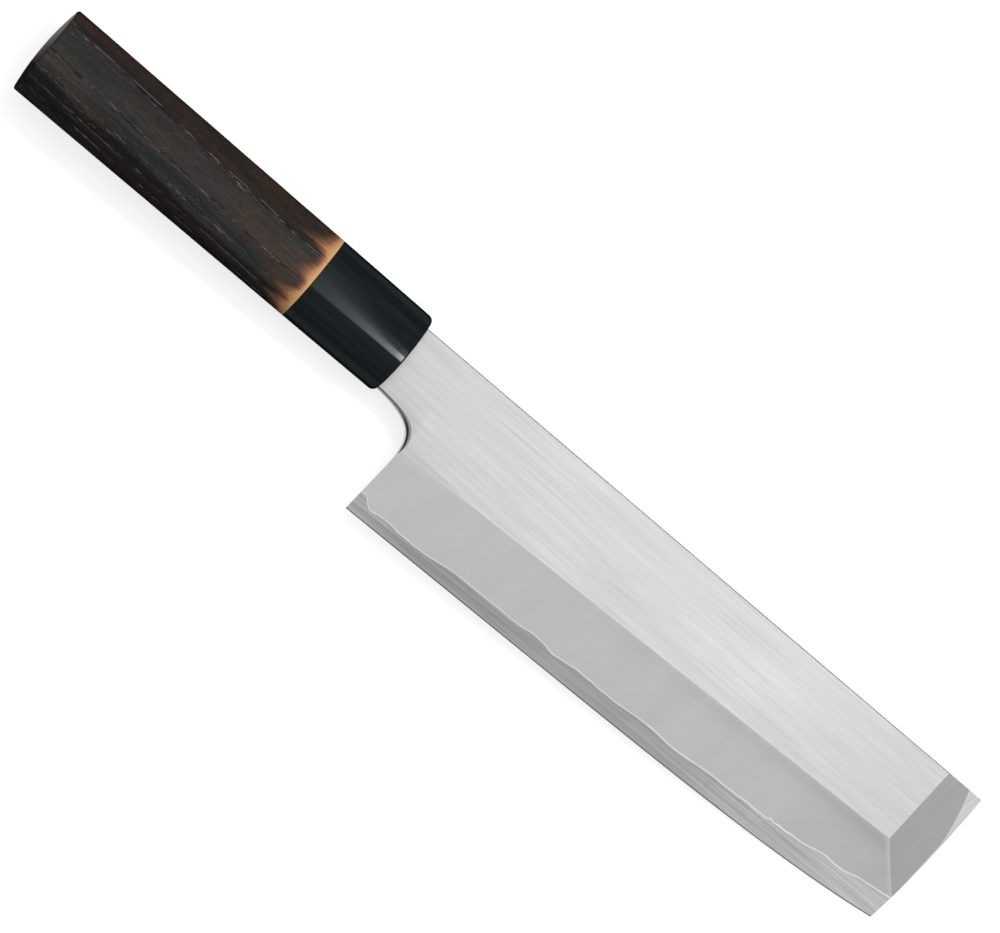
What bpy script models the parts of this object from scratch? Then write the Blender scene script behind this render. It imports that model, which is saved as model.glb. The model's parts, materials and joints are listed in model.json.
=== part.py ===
"""Square-tipped single-bevel kitchen knife, lying at rest on the hollow back of its blade.

The blade is two metals. A soft-iron body carries the flat, the ground bevels, the neck and the
tang, and a hard-steel layer is forge-welded to its back and carries the edge. The tang passes
through a black ferrule and a wooden dowel into a charred chestnut handle.

Sizes are in metres. In the knife's own frame X runs from butt to tip with 0 at the ferrule's
front corner, Y runs from edge to spine with 0 on the handle's centre line, and Z points out of the
bevelled face with 0 in the middle of the tang. One empty carries every piece and tips the knife
onto the points that it rests on: the underside of the ferrule and the end of the blade.
"""

import math

import bmesh
import bpy
from mathutils import Matrix, Vector

MM = 0.001

# Clearances
SEAT_GAP = 0.3 * MM
WELD_GAP = 0.02 * MM

# Blade outline, seen from the bevelled face
NECK_LENGTH = 14.0 * MM
BLADE_LENGTH = 180.2 * MM
SPINE_OFFSET = 9.6 * MM
HEEL_HEIGHT = 50.6 * MM
EDGE_RISE = 3.8 * MM
EDGE_SWEEP = 4.2 * MM
EDGE_SWEEP_POWER = 6
TIP_LEAN = 2.3 * MM
TIP_LEAN_POWER = 2.3

# Neck and the notch behind the heel
NECK_HEIGHT = 21.0 * MM
NECK_SEAT = 3.0 * MM
NOTCH_DROP = 12.6 * MM
NOTCH_DIP = 0.8 * MM
NOTCH_NECK_PULL = 0.87
NOTCH_HEEL_PULL = 0.65
HEEL_LEAN = 1.0 * MM
NECK_CHAMFER = 0.8 * MM
CORNER_CHAMFER = 1.3 * MM

# Blade thickness and its ground faces
NECK_THICKNESS = 3.8 * MM
TIP_THICKNESS = 2.8 * MM
EDGE_THICKNESS = 0.1 * MM
SPINE_CHAMFER = 0.35 * MM
BEVEL_HEIGHT_HEEL = 21.4 * MM
BEVEL_HEIGHT_TIP = 19.4 * MM
TIP_BEVEL_WIDTH = 11.4 * MM
TIP_BEVEL_LEAN = 0.9 * MM
TIP_END_THICKNESS = 1.12 * MM

# Hard-steel layer: the weld line's height above the edge, at shares of the blade's length
STEEL_START = 7.0 * MM
WELD_LINE = (
    (0.00, 5.8 * MM),
    (0.04, 3.8 * MM),
    (0.06, 4.2 * MM),
    (0.13, 3.7 * MM),
    (0.20, 5.0 * MM),
    (0.29, 5.0 * MM),
    (0.34, 5.5 * MM),
    (0.38, 4.8 * MM),
    (0.43, 5.6 * MM),
    (0.47, 5.2 * MM),
    (0.555, 5.9 * MM),
    (0.60, 5.3 * MM),
    (0.67, 6.0 * MM),
    (0.84, 6.2 * MM),
    (0.88, 7.0 * MM),
    (1.00, 7.0 * MM),
)
WELD_RISE_WIDTH = 16.5 * MM
WELD_RISE = 0.66 * MM
WELD_RISE_POWER = 1.4

# Hollow ground into the back
HOLLOW_DEPTH = 0.4 * MM
HOLLOW_SPINE_RIM = 2.5 * MM
HOLLOW_EDGE_RIM = 2.2 * MM
HOLLOW_HEEL_RIM = 3.0 * MM
HOLLOW_TIP_RIM = 3.0 * MM
HOLLOW_END_POWER = 5
HOLLOW_OVERSHOOT = 1.1

# Tang
TANG_LENGTH = 88.0 * MM
TANG_HEIGHT = 11.5 * MM
TANG_END_HEIGHT = 6.0 * MM
TANG_THICKNESS = 3.2 * MM
TANG_END_THICKNESS = 2.0 * MM

# Grip: a chestnut section, an oval with a soft ridge along the side that faces up
HANDLE_LENGTH = 95.0 * MM
FERRULE_LENGTH = 32.1 * MM
BUTT_HEIGHT = 27.1 * MM
JOINT_HEIGHT = 25.8 * MM
FRONT_HEIGHT = 25.2 * MM
BUTT_THICKNESS = 22.4 * MM
JOINT_THICKNESS = 21.3 * MM
FRONT_THICKNESS = 20.6 * MM
BUTT_LIFT = 0.40 * MM
RIDGE_OFFSET = 2.1 * MM
RIDGE_ANGLE = math.radians(12)
FRONT_ROUNDING = 2.0 * MM
FRONT_CROWN = 1.0 * MM
BUTT_ROUNDING = 1.0 * MM
BUTT_CROWN = 1.1 * MM

# Dowel between ferrule and handle
DOWEL_DIAMETER = 15.0 * MM
DOWEL_IN_FERRULE = 21.0 * MM
DOWEL_IN_HANDLE = 21.0 * MM
DOWEL_CHAMFER = 0.8 * MM

# Smoothness of curved stretches
QUARTER_STEPS = 9
ROUNDING_STEPS = 4
CROWN_STEPS = 4
TURNED_SIDES = 48
NOTCH_STEPS = 16
TIP_END_STEPS = 8
BLADE_STATIONS = 36
WELD_STATIONS = 110
WELD_RISE_STEPS = 6
HOLLOW_STATIONS = 33
HOLLOW_ARC_STEPS = 12
BEZIER_CIRCLE = 0.5523
CUTTER_REACH = 4.0 * MM

# Places that follow from the sizes above
HEEL_X = NECK_LENGTH
TIP_X = NECK_LENGTH + BLADE_LENGTH
BACK_Z = -NECK_THICKNESS / 2
NECK_UNDERSIDE = SPINE_OFFSET - NECK_HEIGHT
HEEL_Y = SPINE_OFFSET - HEEL_HEIGHT
JOINT_X = -FERRULE_LENGTH
BUTT_X = JOINT_X - HANDLE_LENGTH


def blend(start, end, share):
    """The value at a share of the way from start to end."""
    return start + (end - start) * share


def along_blade(x):
    """How far along the blade x lies, 0 at the heel and 1 at the tip."""
    return (x - HEEL_X) / BLADE_LENGTH


def bezier(p0, p1, p2, p3, share):
    """A point of the cubic curve with these four control points."""
    rest = 1 - share
    return (
        rest**3 * Vector(p0)
        + 3 * rest**2 * share * Vector(p1)
        + 3 * rest * share**2 * Vector(p2)
        + share**3 * Vector(p3)
    )


def edge_y(x):
    """The cutting edge: almost straight, sweeping up over the last third."""
    share = along_blade(x)
    return HEEL_Y + EDGE_RISE * share + EDGE_SWEEP * max(share, 0) ** EDGE_SWEEP_POWER


def ridge_y(x):
    """The straight line where the flat face meets the main bevel."""
    tip_edge = HEEL_Y + EDGE_RISE + EDGE_SWEEP
    return blend(HEEL_Y + BEVEL_HEIGHT_HEEL, tip_edge + BEVEL_HEIGHT_TIP, along_blade(x))


def thickness(x):
    """The blade's thickness at the flat face, thinning evenly from the ferrule to the tip."""
    return blend(NECK_THICKNESS, TIP_THICKNESS, x / TIP_X)


def tip_end_x(y):
    """The end of the blade, which leans back a little towards the edge."""
    tip_height = HEEL_HEIGHT - EDGE_RISE - EDGE_SWEEP
    share = max(SPINE_OFFSET - y, 0) / tip_height
    return TIP_X - TIP_LEAN * share**TIP_LEAN_POWER


def weld_height(x):
    """Height of the weld line above the edge, eased from one listed point to the next."""
    share = min(max(along_blade(x), WELD_LINE[0][0]), WELD_LINE[-1][0])
    for (start, low), (end, high) in zip(WELD_LINE, WELD_LINE[1:]):
        if share <= end:
            eased = (1 - math.cos(math.pi * (share - start) / (end - start))) / 2
            return blend(low, high, eased)
    return WELD_LINE[-1][1]


def weld_level(x):
    """Height over the back at which the welded metals meet, so that the bevel shows the line."""
    bevel_slope = (thickness(x) - EDGE_THICKNESS) / (ridge_y(x) - edge_y(x))
    return EDGE_THICKNESS + bevel_slope * weld_height(x)


def new_object(name, mesh_data, parent):
    """An object of this mesh, linked to the scene and carried by the parent."""
    made = bpy.data.objects.new(name, mesh_data)
    bpy.context.scene.collection.objects.link(made)
    made.parent = parent
    return made


def mesh_from(name, build):
    """A mesh filled by build(bm), with its faces turned outwards."""
    bm = bmesh.new()
    build(bm)
    bmesh.ops.recalc_face_normals(bm, faces=bm.faces)
    data = bpy.data.meshes.new(name)
    bm.to_mesh(data)
    bm.free()
    return data


def loft(name, rings, end_point=None):
    """A closed skin through rings of equally many points, with flat caps or a pointed end."""

    def build(bm):
        rows = [[bm.verts.new(point) for point in ring] for ring in rings]
        for row, following in zip(rows, rows[1:]):
            for i in range(len(row)):
                j = (i + 1) % len(row)
                bm.faces.new((row[i], row[j], following[j], following[i]))
        bm.faces.new(rows[0])
        last = rows[-1]
        if end_point is None:
            bm.faces.new(last)
            return
        apex = bm.verts.new(end_point)
        for i in range(len(last)):
            bm.faces.new((last[i], last[(i + 1) % len(last)], apex))

    return mesh_from(name, build)


def prism(name, outline, low, high):
    """An outline in X and Y, extruded from one Z to another."""
    return loft(name, [[(x, y, low) for x, y in outline], [(x, y, high) for x, y in outline]])


def cutter(name, mesh_data, parent):
    """A helper that shapes other pieces and isn't a piece itself."""
    made = new_object(name, mesh_data, parent)
    made.hide_render = True
    made.display_type = "WIRE"
    return made


def shape(target, operation, tool):
    """Adds a Boolean to the target: DIFFERENCE, UNION or INTERSECT."""
    modifier = target.modifiers.new(tool.name, "BOOLEAN")
    modifier.operation = operation
    modifier.object = tool


def finish(target, name, colour, roughness, metallic):
    """Gives the piece its own material."""
    made = bpy.data.materials.new(name)
    made.use_nodes = True
    made.diffuse_color = (*colour, 1)
    shader = made.node_tree.nodes["Principled BSDF"]
    shader.inputs["Base Color"].default_value = (*colour, 1)
    shader.inputs["Roughness"].default_value = roughness
    shader.inputs["Metallic"].default_value = metallic
    target.data.materials.clear()
    target.data.materials.append(made)


def smooth(target, crease):
    """Shades the piece smooth, apart from edges sharper than the crease angle in degrees."""
    target.data.shade_smooth()
    target.data.set_sharp_from_angle(angle=math.radians(crease))


def stations(start, end, count):
    """Evenly spaced places from start to end."""
    return [blend(start, end, i / (count - 1)) for i in range(count)]


def blade_bar():
    """The forged bar with its flat, its main bevel and its eased spine, longer than the blade."""
    rings = []
    for x in stations(-NECK_SEAT, TIP_X + CUTTER_REACH, BLADE_STATIONS):
        front = BACK_Z + thickness(x)
        section = (
            (SPINE_OFFSET, BACK_Z),
            (SPINE_OFFSET, front - SPINE_CHAMFER),
            (SPINE_OFFSET - SPINE_CHAMFER, front),
            (ridge_y(x), front),
            (edge_y(x), BACK_Z + EDGE_THICKNESS),
            (edge_y(x), BACK_Z),
        )
        rings.append([(x, y, z) for y, z in section])
    return loft("blade_bar", rings)


def notch_curve():
    """Points from the neck's underside round the hollow corner and down the heel."""
    wide_x = HEEL_X + HEEL_LEAN
    corner_y = NECK_UNDERSIDE - NOTCH_DROP
    start = (0, NECK_UNDERSIDE, 0)
    leave = (wide_x * NOTCH_NECK_PULL, NECK_UNDERSIDE - NOTCH_DIP, 0)
    arrive = (wide_x, corner_y + NOTCH_DROP * NOTCH_HEEL_PULL, 0)
    end = (wide_x, corner_y, 0)
    points = [bezier(start, leave, arrive, end, i / NOTCH_STEPS) for i in range(NOTCH_STEPS + 1)]
    return [(point.x, point.y) for point in points]


def notch_cutter():
    """The space below the neck and behind the heel."""
    behind = -NECK_SEAT - CUTTER_REACH
    below = HEEL_Y - CUTTER_REACH
    curve = notch_curve()
    turn_x, turn_y = curve[-1]
    slope = HEEL_LEAN / (turn_y - HEEL_Y)
    outline = [(behind, NECK_UNDERSIDE), *curve]
    outline.append((turn_x - slope * (turn_y - below), below))
    outline.append((behind, below))
    return prism("notch_cutter", outline, -NECK_THICKNESS, NECK_THICKNESS)


def tip_end_cutter():
    """Everything beyond the end of the blade."""
    beyond = TIP_X + 2 * CUTTER_REACH
    top = SPINE_OFFSET + CUTTER_REACH
    bottom = HEEL_Y
    end_curve = [(tip_end_x(y), y) for y in stations(top, bottom, TIP_END_STEPS)]
    outline = [*end_curve, (beyond, bottom), (beyond, top)]
    return prism("tip_end_cutter", outline, -NECK_THICKNESS, NECK_THICKNESS)


def tip_bevel_cutter():
    """The space over the flat bevel that thins the square tip."""
    start_x = TIP_X - TIP_BEVEL_WIDTH
    corner_y = ridge_y(start_x)
    spine_point = Vector((start_x, SPINE_OFFSET, BACK_Z + thickness(start_x)))
    corner_x = start_x - TIP_BEVEL_LEAN
    corner_point = Vector((corner_x, corner_y, BACK_Z + thickness(corner_x)))
    end_point = Vector((TIP_X, SPINE_OFFSET, BACK_Z + TIP_END_THICKNESS))
    across = (corner_point - spine_point).normalized()
    down = (end_point - spine_point).normalized()
    reach = HEEL_HEIGHT
    floor = [
        spine_point - across * reach - down * CUTTER_REACH,
        spine_point + across * 2 * reach - down * CUTTER_REACH,
        spine_point + across * 2 * reach + down * (TIP_BEVEL_WIDTH + 2 * CUTTER_REACH),
        spine_point - across * reach + down * (TIP_BEVEL_WIDTH + 2 * CUTTER_REACH),
    ]
    lift = Vector((0, 0, NECK_THICKNESS + CUTTER_REACH))
    return loft("tip_bevel_cutter", [floor, [point + lift for point in floor]])


def notch_chamfer_cutter():
    """The polished chamfer round the notch, widest in the corner and gone by the heel."""
    curve = [Vector(point) for point in [(-NECK_SEAT, NECK_UNDERSIDE), *notch_curve()]]
    rings = []
    for i, point in enumerate(curve):
        before = curve[max(i - 1, 0)]
        after = curve[min(i + 1, len(curve) - 1)]
        run = (after - before).normalized()
        into_blade = Vector((-run.y, run.x))
        share = max(i - 1, 0) / NOTCH_STEPS
        width = NECK_CHAMFER * (1 - share) + CORNER_CHAMFER * math.sin(math.pi * share)
        front = BACK_Z + thickness(point.x)
        inner = point + into_blade * width
        slope_out = point - into_blade * width
        far = point - into_blade * CUTTER_REACH / 2
        over = point + into_blade * 2 * width
        rings.append(
            [
                (slope_out.x, slope_out.y, front - 2 * width),
                (inner.x, inner.y, front),
                (over.x, over.y, front + width),
                (far.x, far.y, front + CUTTER_REACH / 2),
            ]
        )
    return loft("notch_chamfer_cutter", rings[:-1])


def steel_space(name, grow):
    """The space on the back that the hard steel takes up, larger by grow."""
    top = SPINE_OFFSET + CUTTER_REACH
    bottom = HEEL_Y - CUTTER_REACH
    below = BACK_Z - CUTTER_REACH
    rise = []
    for share in stations(1, 0, WELD_RISE_STEPS):
        y = SPINE_OFFSET - WELD_RISE_WIDTH * (1 - share)
        rise.append((y, WELD_RISE * share**WELD_RISE_POWER))
    rings = []
    for x in stations(STEEL_START - grow, TIP_X + 2 * CUTTER_REACH, WELD_STATIONS):
        level = BACK_Z + weld_level(x) + grow
        section = [(top, below), (top, level + WELD_RISE)]
        section += [(y, level + lift) for y, lift in rise]
        section += [(bottom, level), (bottom, below)]
        rings.append([(x, y, z) for y, z in section])
    return loft(name, rings)


def hollow_cutter():
    """The shallow hollow of the back, as a large wheel leaves it, lifted out at both ends."""
    start = HEEL_X + HEEL_LEAN + HOLLOW_HEEL_RIM
    end = TIP_X - TIP_LEAN - HOLLOW_TIP_RIM
    middle = (start + end) / 2
    half_length = (end - start) / 2
    rings = []
    for i in range(HOLLOW_STATIONS):
        turn = math.pi * (i + 0.5) / HOLLOW_STATIONS
        offset = -math.cos(turn)
        x = middle + half_length * offset
        top = SPINE_OFFSET - HOLLOW_SPINE_RIM
        bottom = edge_y(x) + HOLLOW_EDGE_RIM
        full_half = (top - bottom) / 2
        narrowing = (1 - abs(offset) ** HOLLOW_END_POWER) ** (1 / HOLLOW_END_POWER)
        depth = HOLLOW_DEPTH * narrowing**2
        overshoot = HOLLOW_OVERSHOOT * full_half * narrowing
        centre = (top + bottom) / 2
        arc = []
        for y in stations(-overshoot, overshoot, HOLLOW_ARC_STEPS):
            sunk = depth - HOLLOW_DEPTH * (y / full_half) ** 2
            arc.append((x, centre + y, BACK_Z + sunk))
        under = BACK_Z - CUTTER_REACH
        rings.append([(x, centre - overshoot, under), *arc, (x, centre + overshoot, under)])
    return loft("hollow_cutter", rings)


def tang_rings(grow, start, end):
    """Two sections of the tang, larger by grow, at the places where it starts and ends."""
    rings = []
    for x in (start, end):
        share = -x / TANG_LENGTH
        half_height = blend(TANG_HEIGHT, TANG_END_HEIGHT, share) / 2 + grow
        half_thickness = blend(TANG_THICKNESS, TANG_END_THICKNESS, share) / 2 + grow
        rings.append(
            [
                (x, -half_height, -half_thickness),
                (x, half_height, -half_thickness),
                (x, half_height, half_thickness),
                (x, -half_height, half_thickness),
            ]
        )
    return rings


def grip_ring(x, height, thickness_here, inset):
    """One chestnut section of the grip: an oval underside, and two curves that meet in the ridge."""
    a = height / 2 - inset
    b = thickness_here / 2 - inset
    lift = BUTT_LIFT * x / BUTT_X
    ridge = -RIDGE_OFFSET * (a / (height / 2))
    down = math.tan(RIDGE_ANGLE)
    right_reach = BEZIER_CIRCLE * (a - ridge)
    left_reach = BEZIER_CIRCLE * (a + ridge)
    peak = (0, ridge, b)
    flank_right = (0, ridge + right_reach, b - right_reach * down)
    flank_left = (0, ridge - left_reach, b - left_reach * down)
    quarters = (
        ((0, a, 0), (0, a, BEZIER_CIRCLE * b), flank_right, peak),
        (peak, flank_left, (0, -a, BEZIER_CIRCLE * b), (0, -a, 0)),
        ((0, -a, 0), (0, -a, -BEZIER_CIRCLE * b), (0, -BEZIER_CIRCLE * a, -b), (0, 0, -b)),
        ((0, 0, -b), (0, BEZIER_CIRCLE * a, -b), (0, a, -BEZIER_CIRCLE * b), (0, a, 0)),
    )
    points = []
    for quarter in quarters:
        for i in range(QUARTER_STEPS):
            point = bezier(*quarter, i / QUARTER_STEPS)
            points.append((x, point.y + lift, point.z))
    return points


def grip_end(x, height, thickness_here, rounding, crown, outwards):
    """Rings over a rounded corner and a crowned end face, and the crown's middle point."""
    rings = []
    for i in range(ROUNDING_STEPS + 1):
        turn = math.pi / 2 * i / ROUNDING_STEPS
        place = x - outwards * rounding * (1 - math.sin(turn))
        rings.append(grip_ring(place, height, thickness_here, rounding * (1 - math.cos(turn))))
    rim = rings[-1]
    lift = BUTT_LIFT * x / BUTT_X
    for i in range(1, CROWN_STEPS):
        share = i / CROWN_STEPS
        bulge = outwards * crown * (1 - (1 - share) ** 2)
        rings.append(
            [(px + bulge, lift + (py - lift) * (1 - share), pz * (1 - share)) for px, py, pz in rim]
        )
    return rings, (x + outwards * crown, lift, 0)


def turned(name, radius, start, end, chamfer):
    """A round bar along X with chamfered ends."""
    rings = []
    for x, r in (
        (start, radius - chamfer),
        (start + chamfer, radius),
        (end - chamfer, radius),
        (end, radius - chamfer),
    ):
        ring = []
        for i in range(TURNED_SIDES):
            turn = 2 * math.pi * i / TURNED_SIDES
            ring.append((x, r * math.cos(turn), r * math.sin(turn)))
        rings.append(ring)
    return loft(name, rings)


def make_blade(carrier, tang_seat_start):
    """The two welded metals of the blade."""
    notch = cutter("notch_cutter", notch_cutter(), carrier)
    tip_end = cutter("tip_end_cutter", tip_end_cutter(), carrier)
    tip_bevel = cutter("tip_bevel_cutter", tip_bevel_cutter(), carrier)
    chamfer = cutter("notch_chamfer_cutter", notch_chamfer_cutter(), carrier)
    seat = cutter("steel_seat_cutter", steel_space("steel_seat_cutter", WELD_GAP), carrier)
    layer = cutter("steel_layer_guide", steel_space("steel_layer_guide", 0), carrier)
    hollow = cutter("hollow_cutter", hollow_cutter(), carrier)
    tang = cutter("tang_blank", loft("tang_blank", tang_rings(0, tang_seat_start, -TANG_LENGTH)), carrier)

    iron = new_object("blade_iron", blade_bar(), carrier)
    for tool in (notch, tip_end, tip_bevel, chamfer, seat):
        shape(iron, "DIFFERENCE", tool)
    shape(iron, "UNION", tang)
    finish(iron, "soft_iron", (0.62, 0.63, 0.63), 0.34, 1.0)

    steel = new_object("blade_steel", blade_bar(), carrier)
    shape(steel, "INTERSECT", layer)
    for tool in (notch, tip_end, tip_bevel, hollow):
        shape(steel, "DIFFERENCE", tool)
    finish(steel, "hard_steel", (0.50, 0.51, 0.52), 0.25, 1.0)
    return iron, steel


def make_grip(carrier):
    """Ferrule, dowel and handle, with the seats that the blade's neck and tang go into."""
    tang_seat = cutter(
        "tang_seat_cutter",
        loft("tang_seat_cutter", tang_rings(SEAT_GAP, CUTTER_REACH, -TANG_LENGTH - SEAT_GAP)),
        carrier,
    )
    neck_half = NECK_THICKNESS / 2 + SEAT_GAP
    neck_outline = [
        (-NECK_SEAT - SEAT_GAP, NECK_UNDERSIDE - SEAT_GAP),
        (FRONT_CROWN + CUTTER_REACH, NECK_UNDERSIDE - SEAT_GAP),
        (FRONT_CROWN + CUTTER_REACH, SPINE_OFFSET + SEAT_GAP),
        (-NECK_SEAT - SEAT_GAP, SPINE_OFFSET + SEAT_GAP),
    ]
    neck_seat = cutter(
        "neck_seat_cutter", prism("neck_seat_cutter", neck_outline, -neck_half, neck_half), carrier
    )
    dowel_front = JOINT_X + DOWEL_IN_FERRULE
    dowel_back = JOINT_X - DOWEL_IN_HANDLE
    dowel_bore = cutter(
        "dowel_bore_cutter",
        turned(
            "dowel_bore_cutter",
            DOWEL_DIAMETER / 2 + SEAT_GAP,
            dowel_back - SEAT_GAP,
            dowel_front + SEAT_GAP,
            DOWEL_CHAMFER,
        ),
        carrier,
    )

    front_rings, front_point = grip_end(
        0, FRONT_HEIGHT, FRONT_THICKNESS, FRONT_ROUNDING, FRONT_CROWN, 1
    )
    joint_ring = grip_ring(JOINT_X, JOINT_HEIGHT, JOINT_THICKNESS, 0)
    ferrule = new_object(
        "ferrule", loft("ferrule", [joint_ring, *front_rings], end_point=front_point), carrier
    )
    for tool in (dowel_bore, tang_seat, neck_seat):
        shape(ferrule, "DIFFERENCE", tool)
    finish(ferrule, "black_horn", (0.008, 0.009, 0.010), 0.12, 0.0)
    smooth(ferrule, 20)

    butt_rings, butt_point = grip_end(
        BUTT_X, BUTT_HEIGHT, BUTT_THICKNESS, BUTT_ROUNDING, BUTT_CROWN, -1
    )
    wood_ring = grip_ring(JOINT_X - SEAT_GAP, JOINT_HEIGHT, JOINT_THICKNESS, 0)
    handle = new_object(
        "handle", loft("handle", [wood_ring, *butt_rings], end_point=butt_point), carrier
    )
    for tool in (dowel_bore, tang_seat):
        shape(handle, "DIFFERENCE", tool)
    finish(handle, "charred_chestnut", (0.030, 0.026, 0.024), 0.6, 0.0)
    smooth(handle, 20)

    dowel = new_object(
        "dowel",
        turned("dowel", DOWEL_DIAMETER / 2, dowel_back, dowel_front, DOWEL_CHAMFER),
        carrier,
    )
    shape(dowel, "DIFFERENCE", tang_seat)
    finish(dowel, "magnolia_wood", (0.55, 0.42, 0.27), 0.6, 0.0)
    smooth(dowel, 30)
    return ferrule, handle


def lay_down(carrier, grip_pieces):
    """Tips the knife onto its tip and the lowest point of the grip, centred over the origin."""
    tip = Vector((TIP_X, SPINE_OFFSET, BACK_Z))
    grip_points = [vertex.co for piece in grip_pieces for vertex in piece.data.vertices]
    pitch = max(math.atan2(tip.z - point.z, tip.x - point.x) for point in grip_points)
    turn = Matrix.Rotation(pitch, 4, "Y")
    turned_tip = turn @ tip
    turned_grip = [turn @ point for point in grip_points]
    # The blade's front corner at the tip reaches furthest forwards once the knife is tipped.
    tip_front = turn @ Vector((TIP_X, SPINE_OFFSET, BACK_Z + TIP_END_THICKNESS))
    back_x = min(point.x for point in turned_grip)
    top_y = max(point.y for point in turned_grip)
    carrier.rotation_euler = (0, pitch, 0)
    carrier.location = (-(back_x + tip_front.x) / 2, -(top_y + HEEL_Y) / 2, -turned_tip.z)


def main():
    """Clears the scene and makes the knife."""
    for old in list(bpy.data.objects):
        bpy.data.objects.remove(old)
    carrier = bpy.data.objects.new("knife", None)
    bpy.context.scene.collection.objects.link(carrier)
    make_blade(carrier, tang_seat_start=NECK_SEAT / 2)
    ferrule, handle = make_grip(carrier)
    lay_down(carrier, (ferrule, handle))


main()
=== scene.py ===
"""Looks of a square-tipped single-bevel kitchen knife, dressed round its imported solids.

The blade is modelled again with its grinding lines, weld line and eased arrises, the ferrule as
polished horn and the handle as charred, brushed chestnut with open pores. Every mesh is made in the
knife's own frame, in metres: X runs from butt to tip with 0 at the ferrule's front corner, Y from
edge to spine with 0 on the handle's centre line, and Z out of the bevelled face with 0 in the
middle of the tang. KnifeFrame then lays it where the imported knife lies. The patterns and tables of
the finishes are in millimetres.
"""

from __future__ import annotations

import itertools
import json
import logging
import math
import sys
from collections.abc import Callable, Sequence
from dataclasses import dataclass, field
from enum import Enum
from functools import cached_property

import bmesh
import bpy
import numpy as np
from mathutils import Matrix, Vector

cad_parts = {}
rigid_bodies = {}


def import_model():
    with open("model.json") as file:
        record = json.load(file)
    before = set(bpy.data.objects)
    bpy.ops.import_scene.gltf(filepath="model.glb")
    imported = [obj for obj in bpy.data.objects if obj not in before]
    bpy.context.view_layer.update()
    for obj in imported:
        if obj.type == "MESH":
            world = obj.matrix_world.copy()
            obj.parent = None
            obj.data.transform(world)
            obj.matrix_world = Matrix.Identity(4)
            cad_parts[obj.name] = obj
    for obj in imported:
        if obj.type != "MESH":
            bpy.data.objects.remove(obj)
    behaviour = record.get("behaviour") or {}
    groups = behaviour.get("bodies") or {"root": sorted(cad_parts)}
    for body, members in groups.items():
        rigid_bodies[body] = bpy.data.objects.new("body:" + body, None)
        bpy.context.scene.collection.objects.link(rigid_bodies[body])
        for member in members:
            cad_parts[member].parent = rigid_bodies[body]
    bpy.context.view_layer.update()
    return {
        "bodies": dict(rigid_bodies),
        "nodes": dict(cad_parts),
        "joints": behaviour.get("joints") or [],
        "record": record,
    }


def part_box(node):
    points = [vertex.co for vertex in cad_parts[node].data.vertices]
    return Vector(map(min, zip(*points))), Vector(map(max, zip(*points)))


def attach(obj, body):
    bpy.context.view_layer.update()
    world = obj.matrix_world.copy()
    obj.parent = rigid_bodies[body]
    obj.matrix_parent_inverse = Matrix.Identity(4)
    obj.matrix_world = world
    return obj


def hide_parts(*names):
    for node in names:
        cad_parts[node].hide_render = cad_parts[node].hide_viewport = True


MM = 0.001
BODY = "root"
BEZIER_CIRCLE = 0.5523
QUARTER = math.pi / 2
WHITE = (1.0, 1.0, 1.0, 1.0)
SPECULAR = "Specular IOR Level"
log = logging.getLogger("knife")

# Where most values of a noise lie, and how far a surface turns away while a dark thing's gloss fades.
NOISE_RANGE = (0.3, 0.7)
RIM_RANGE = (0.02, 0.6)

# Settings that several nodes share.
COLOURS = {"data_type": "RGBA"}
TINTED = COLOURS | {"blend_type": "MULTIPLY"}
LIGHTER = COLOURS | {"blend_type": "LIGHTEN"}
TIMES = {"operation": "MULTIPLY"}
LARGER = {"operation": "MAXIMUM"}
SMOOTH = {"interpolation_type": "SMOOTHSTEP"}

Point = tuple[float, float, float]
Place = tuple[float, float]
Colour = tuple[float, float, float, float]
Rows = Sequence[Sequence[float]]
Tones = Sequence[tuple[float, str]]
Socket = bpy.types.NodeSocket
Material = bpy.types.Material
Mesh = bpy.types.Mesh
Numbers = np.ndarray


# Colours and nodes


def linear(code: str) -> Colour:
    """Turns an sRGB hex colour into the linear colour that a shader takes.

    Args:
        code: The colour as "#RRGGBB".

    Returns:
        Linear red, green and blue, and an alpha of 1.
    """
    channels = [int(code[i : i + 2], 16) / 255 for i in (1, 3, 5)]
    red, green, blue = (c / 12.92 if c <= 0.04045 else ((c + 0.055) / 1.055) ** 2.4 for c in channels)
    return red, green, blue, 1.0


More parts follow.
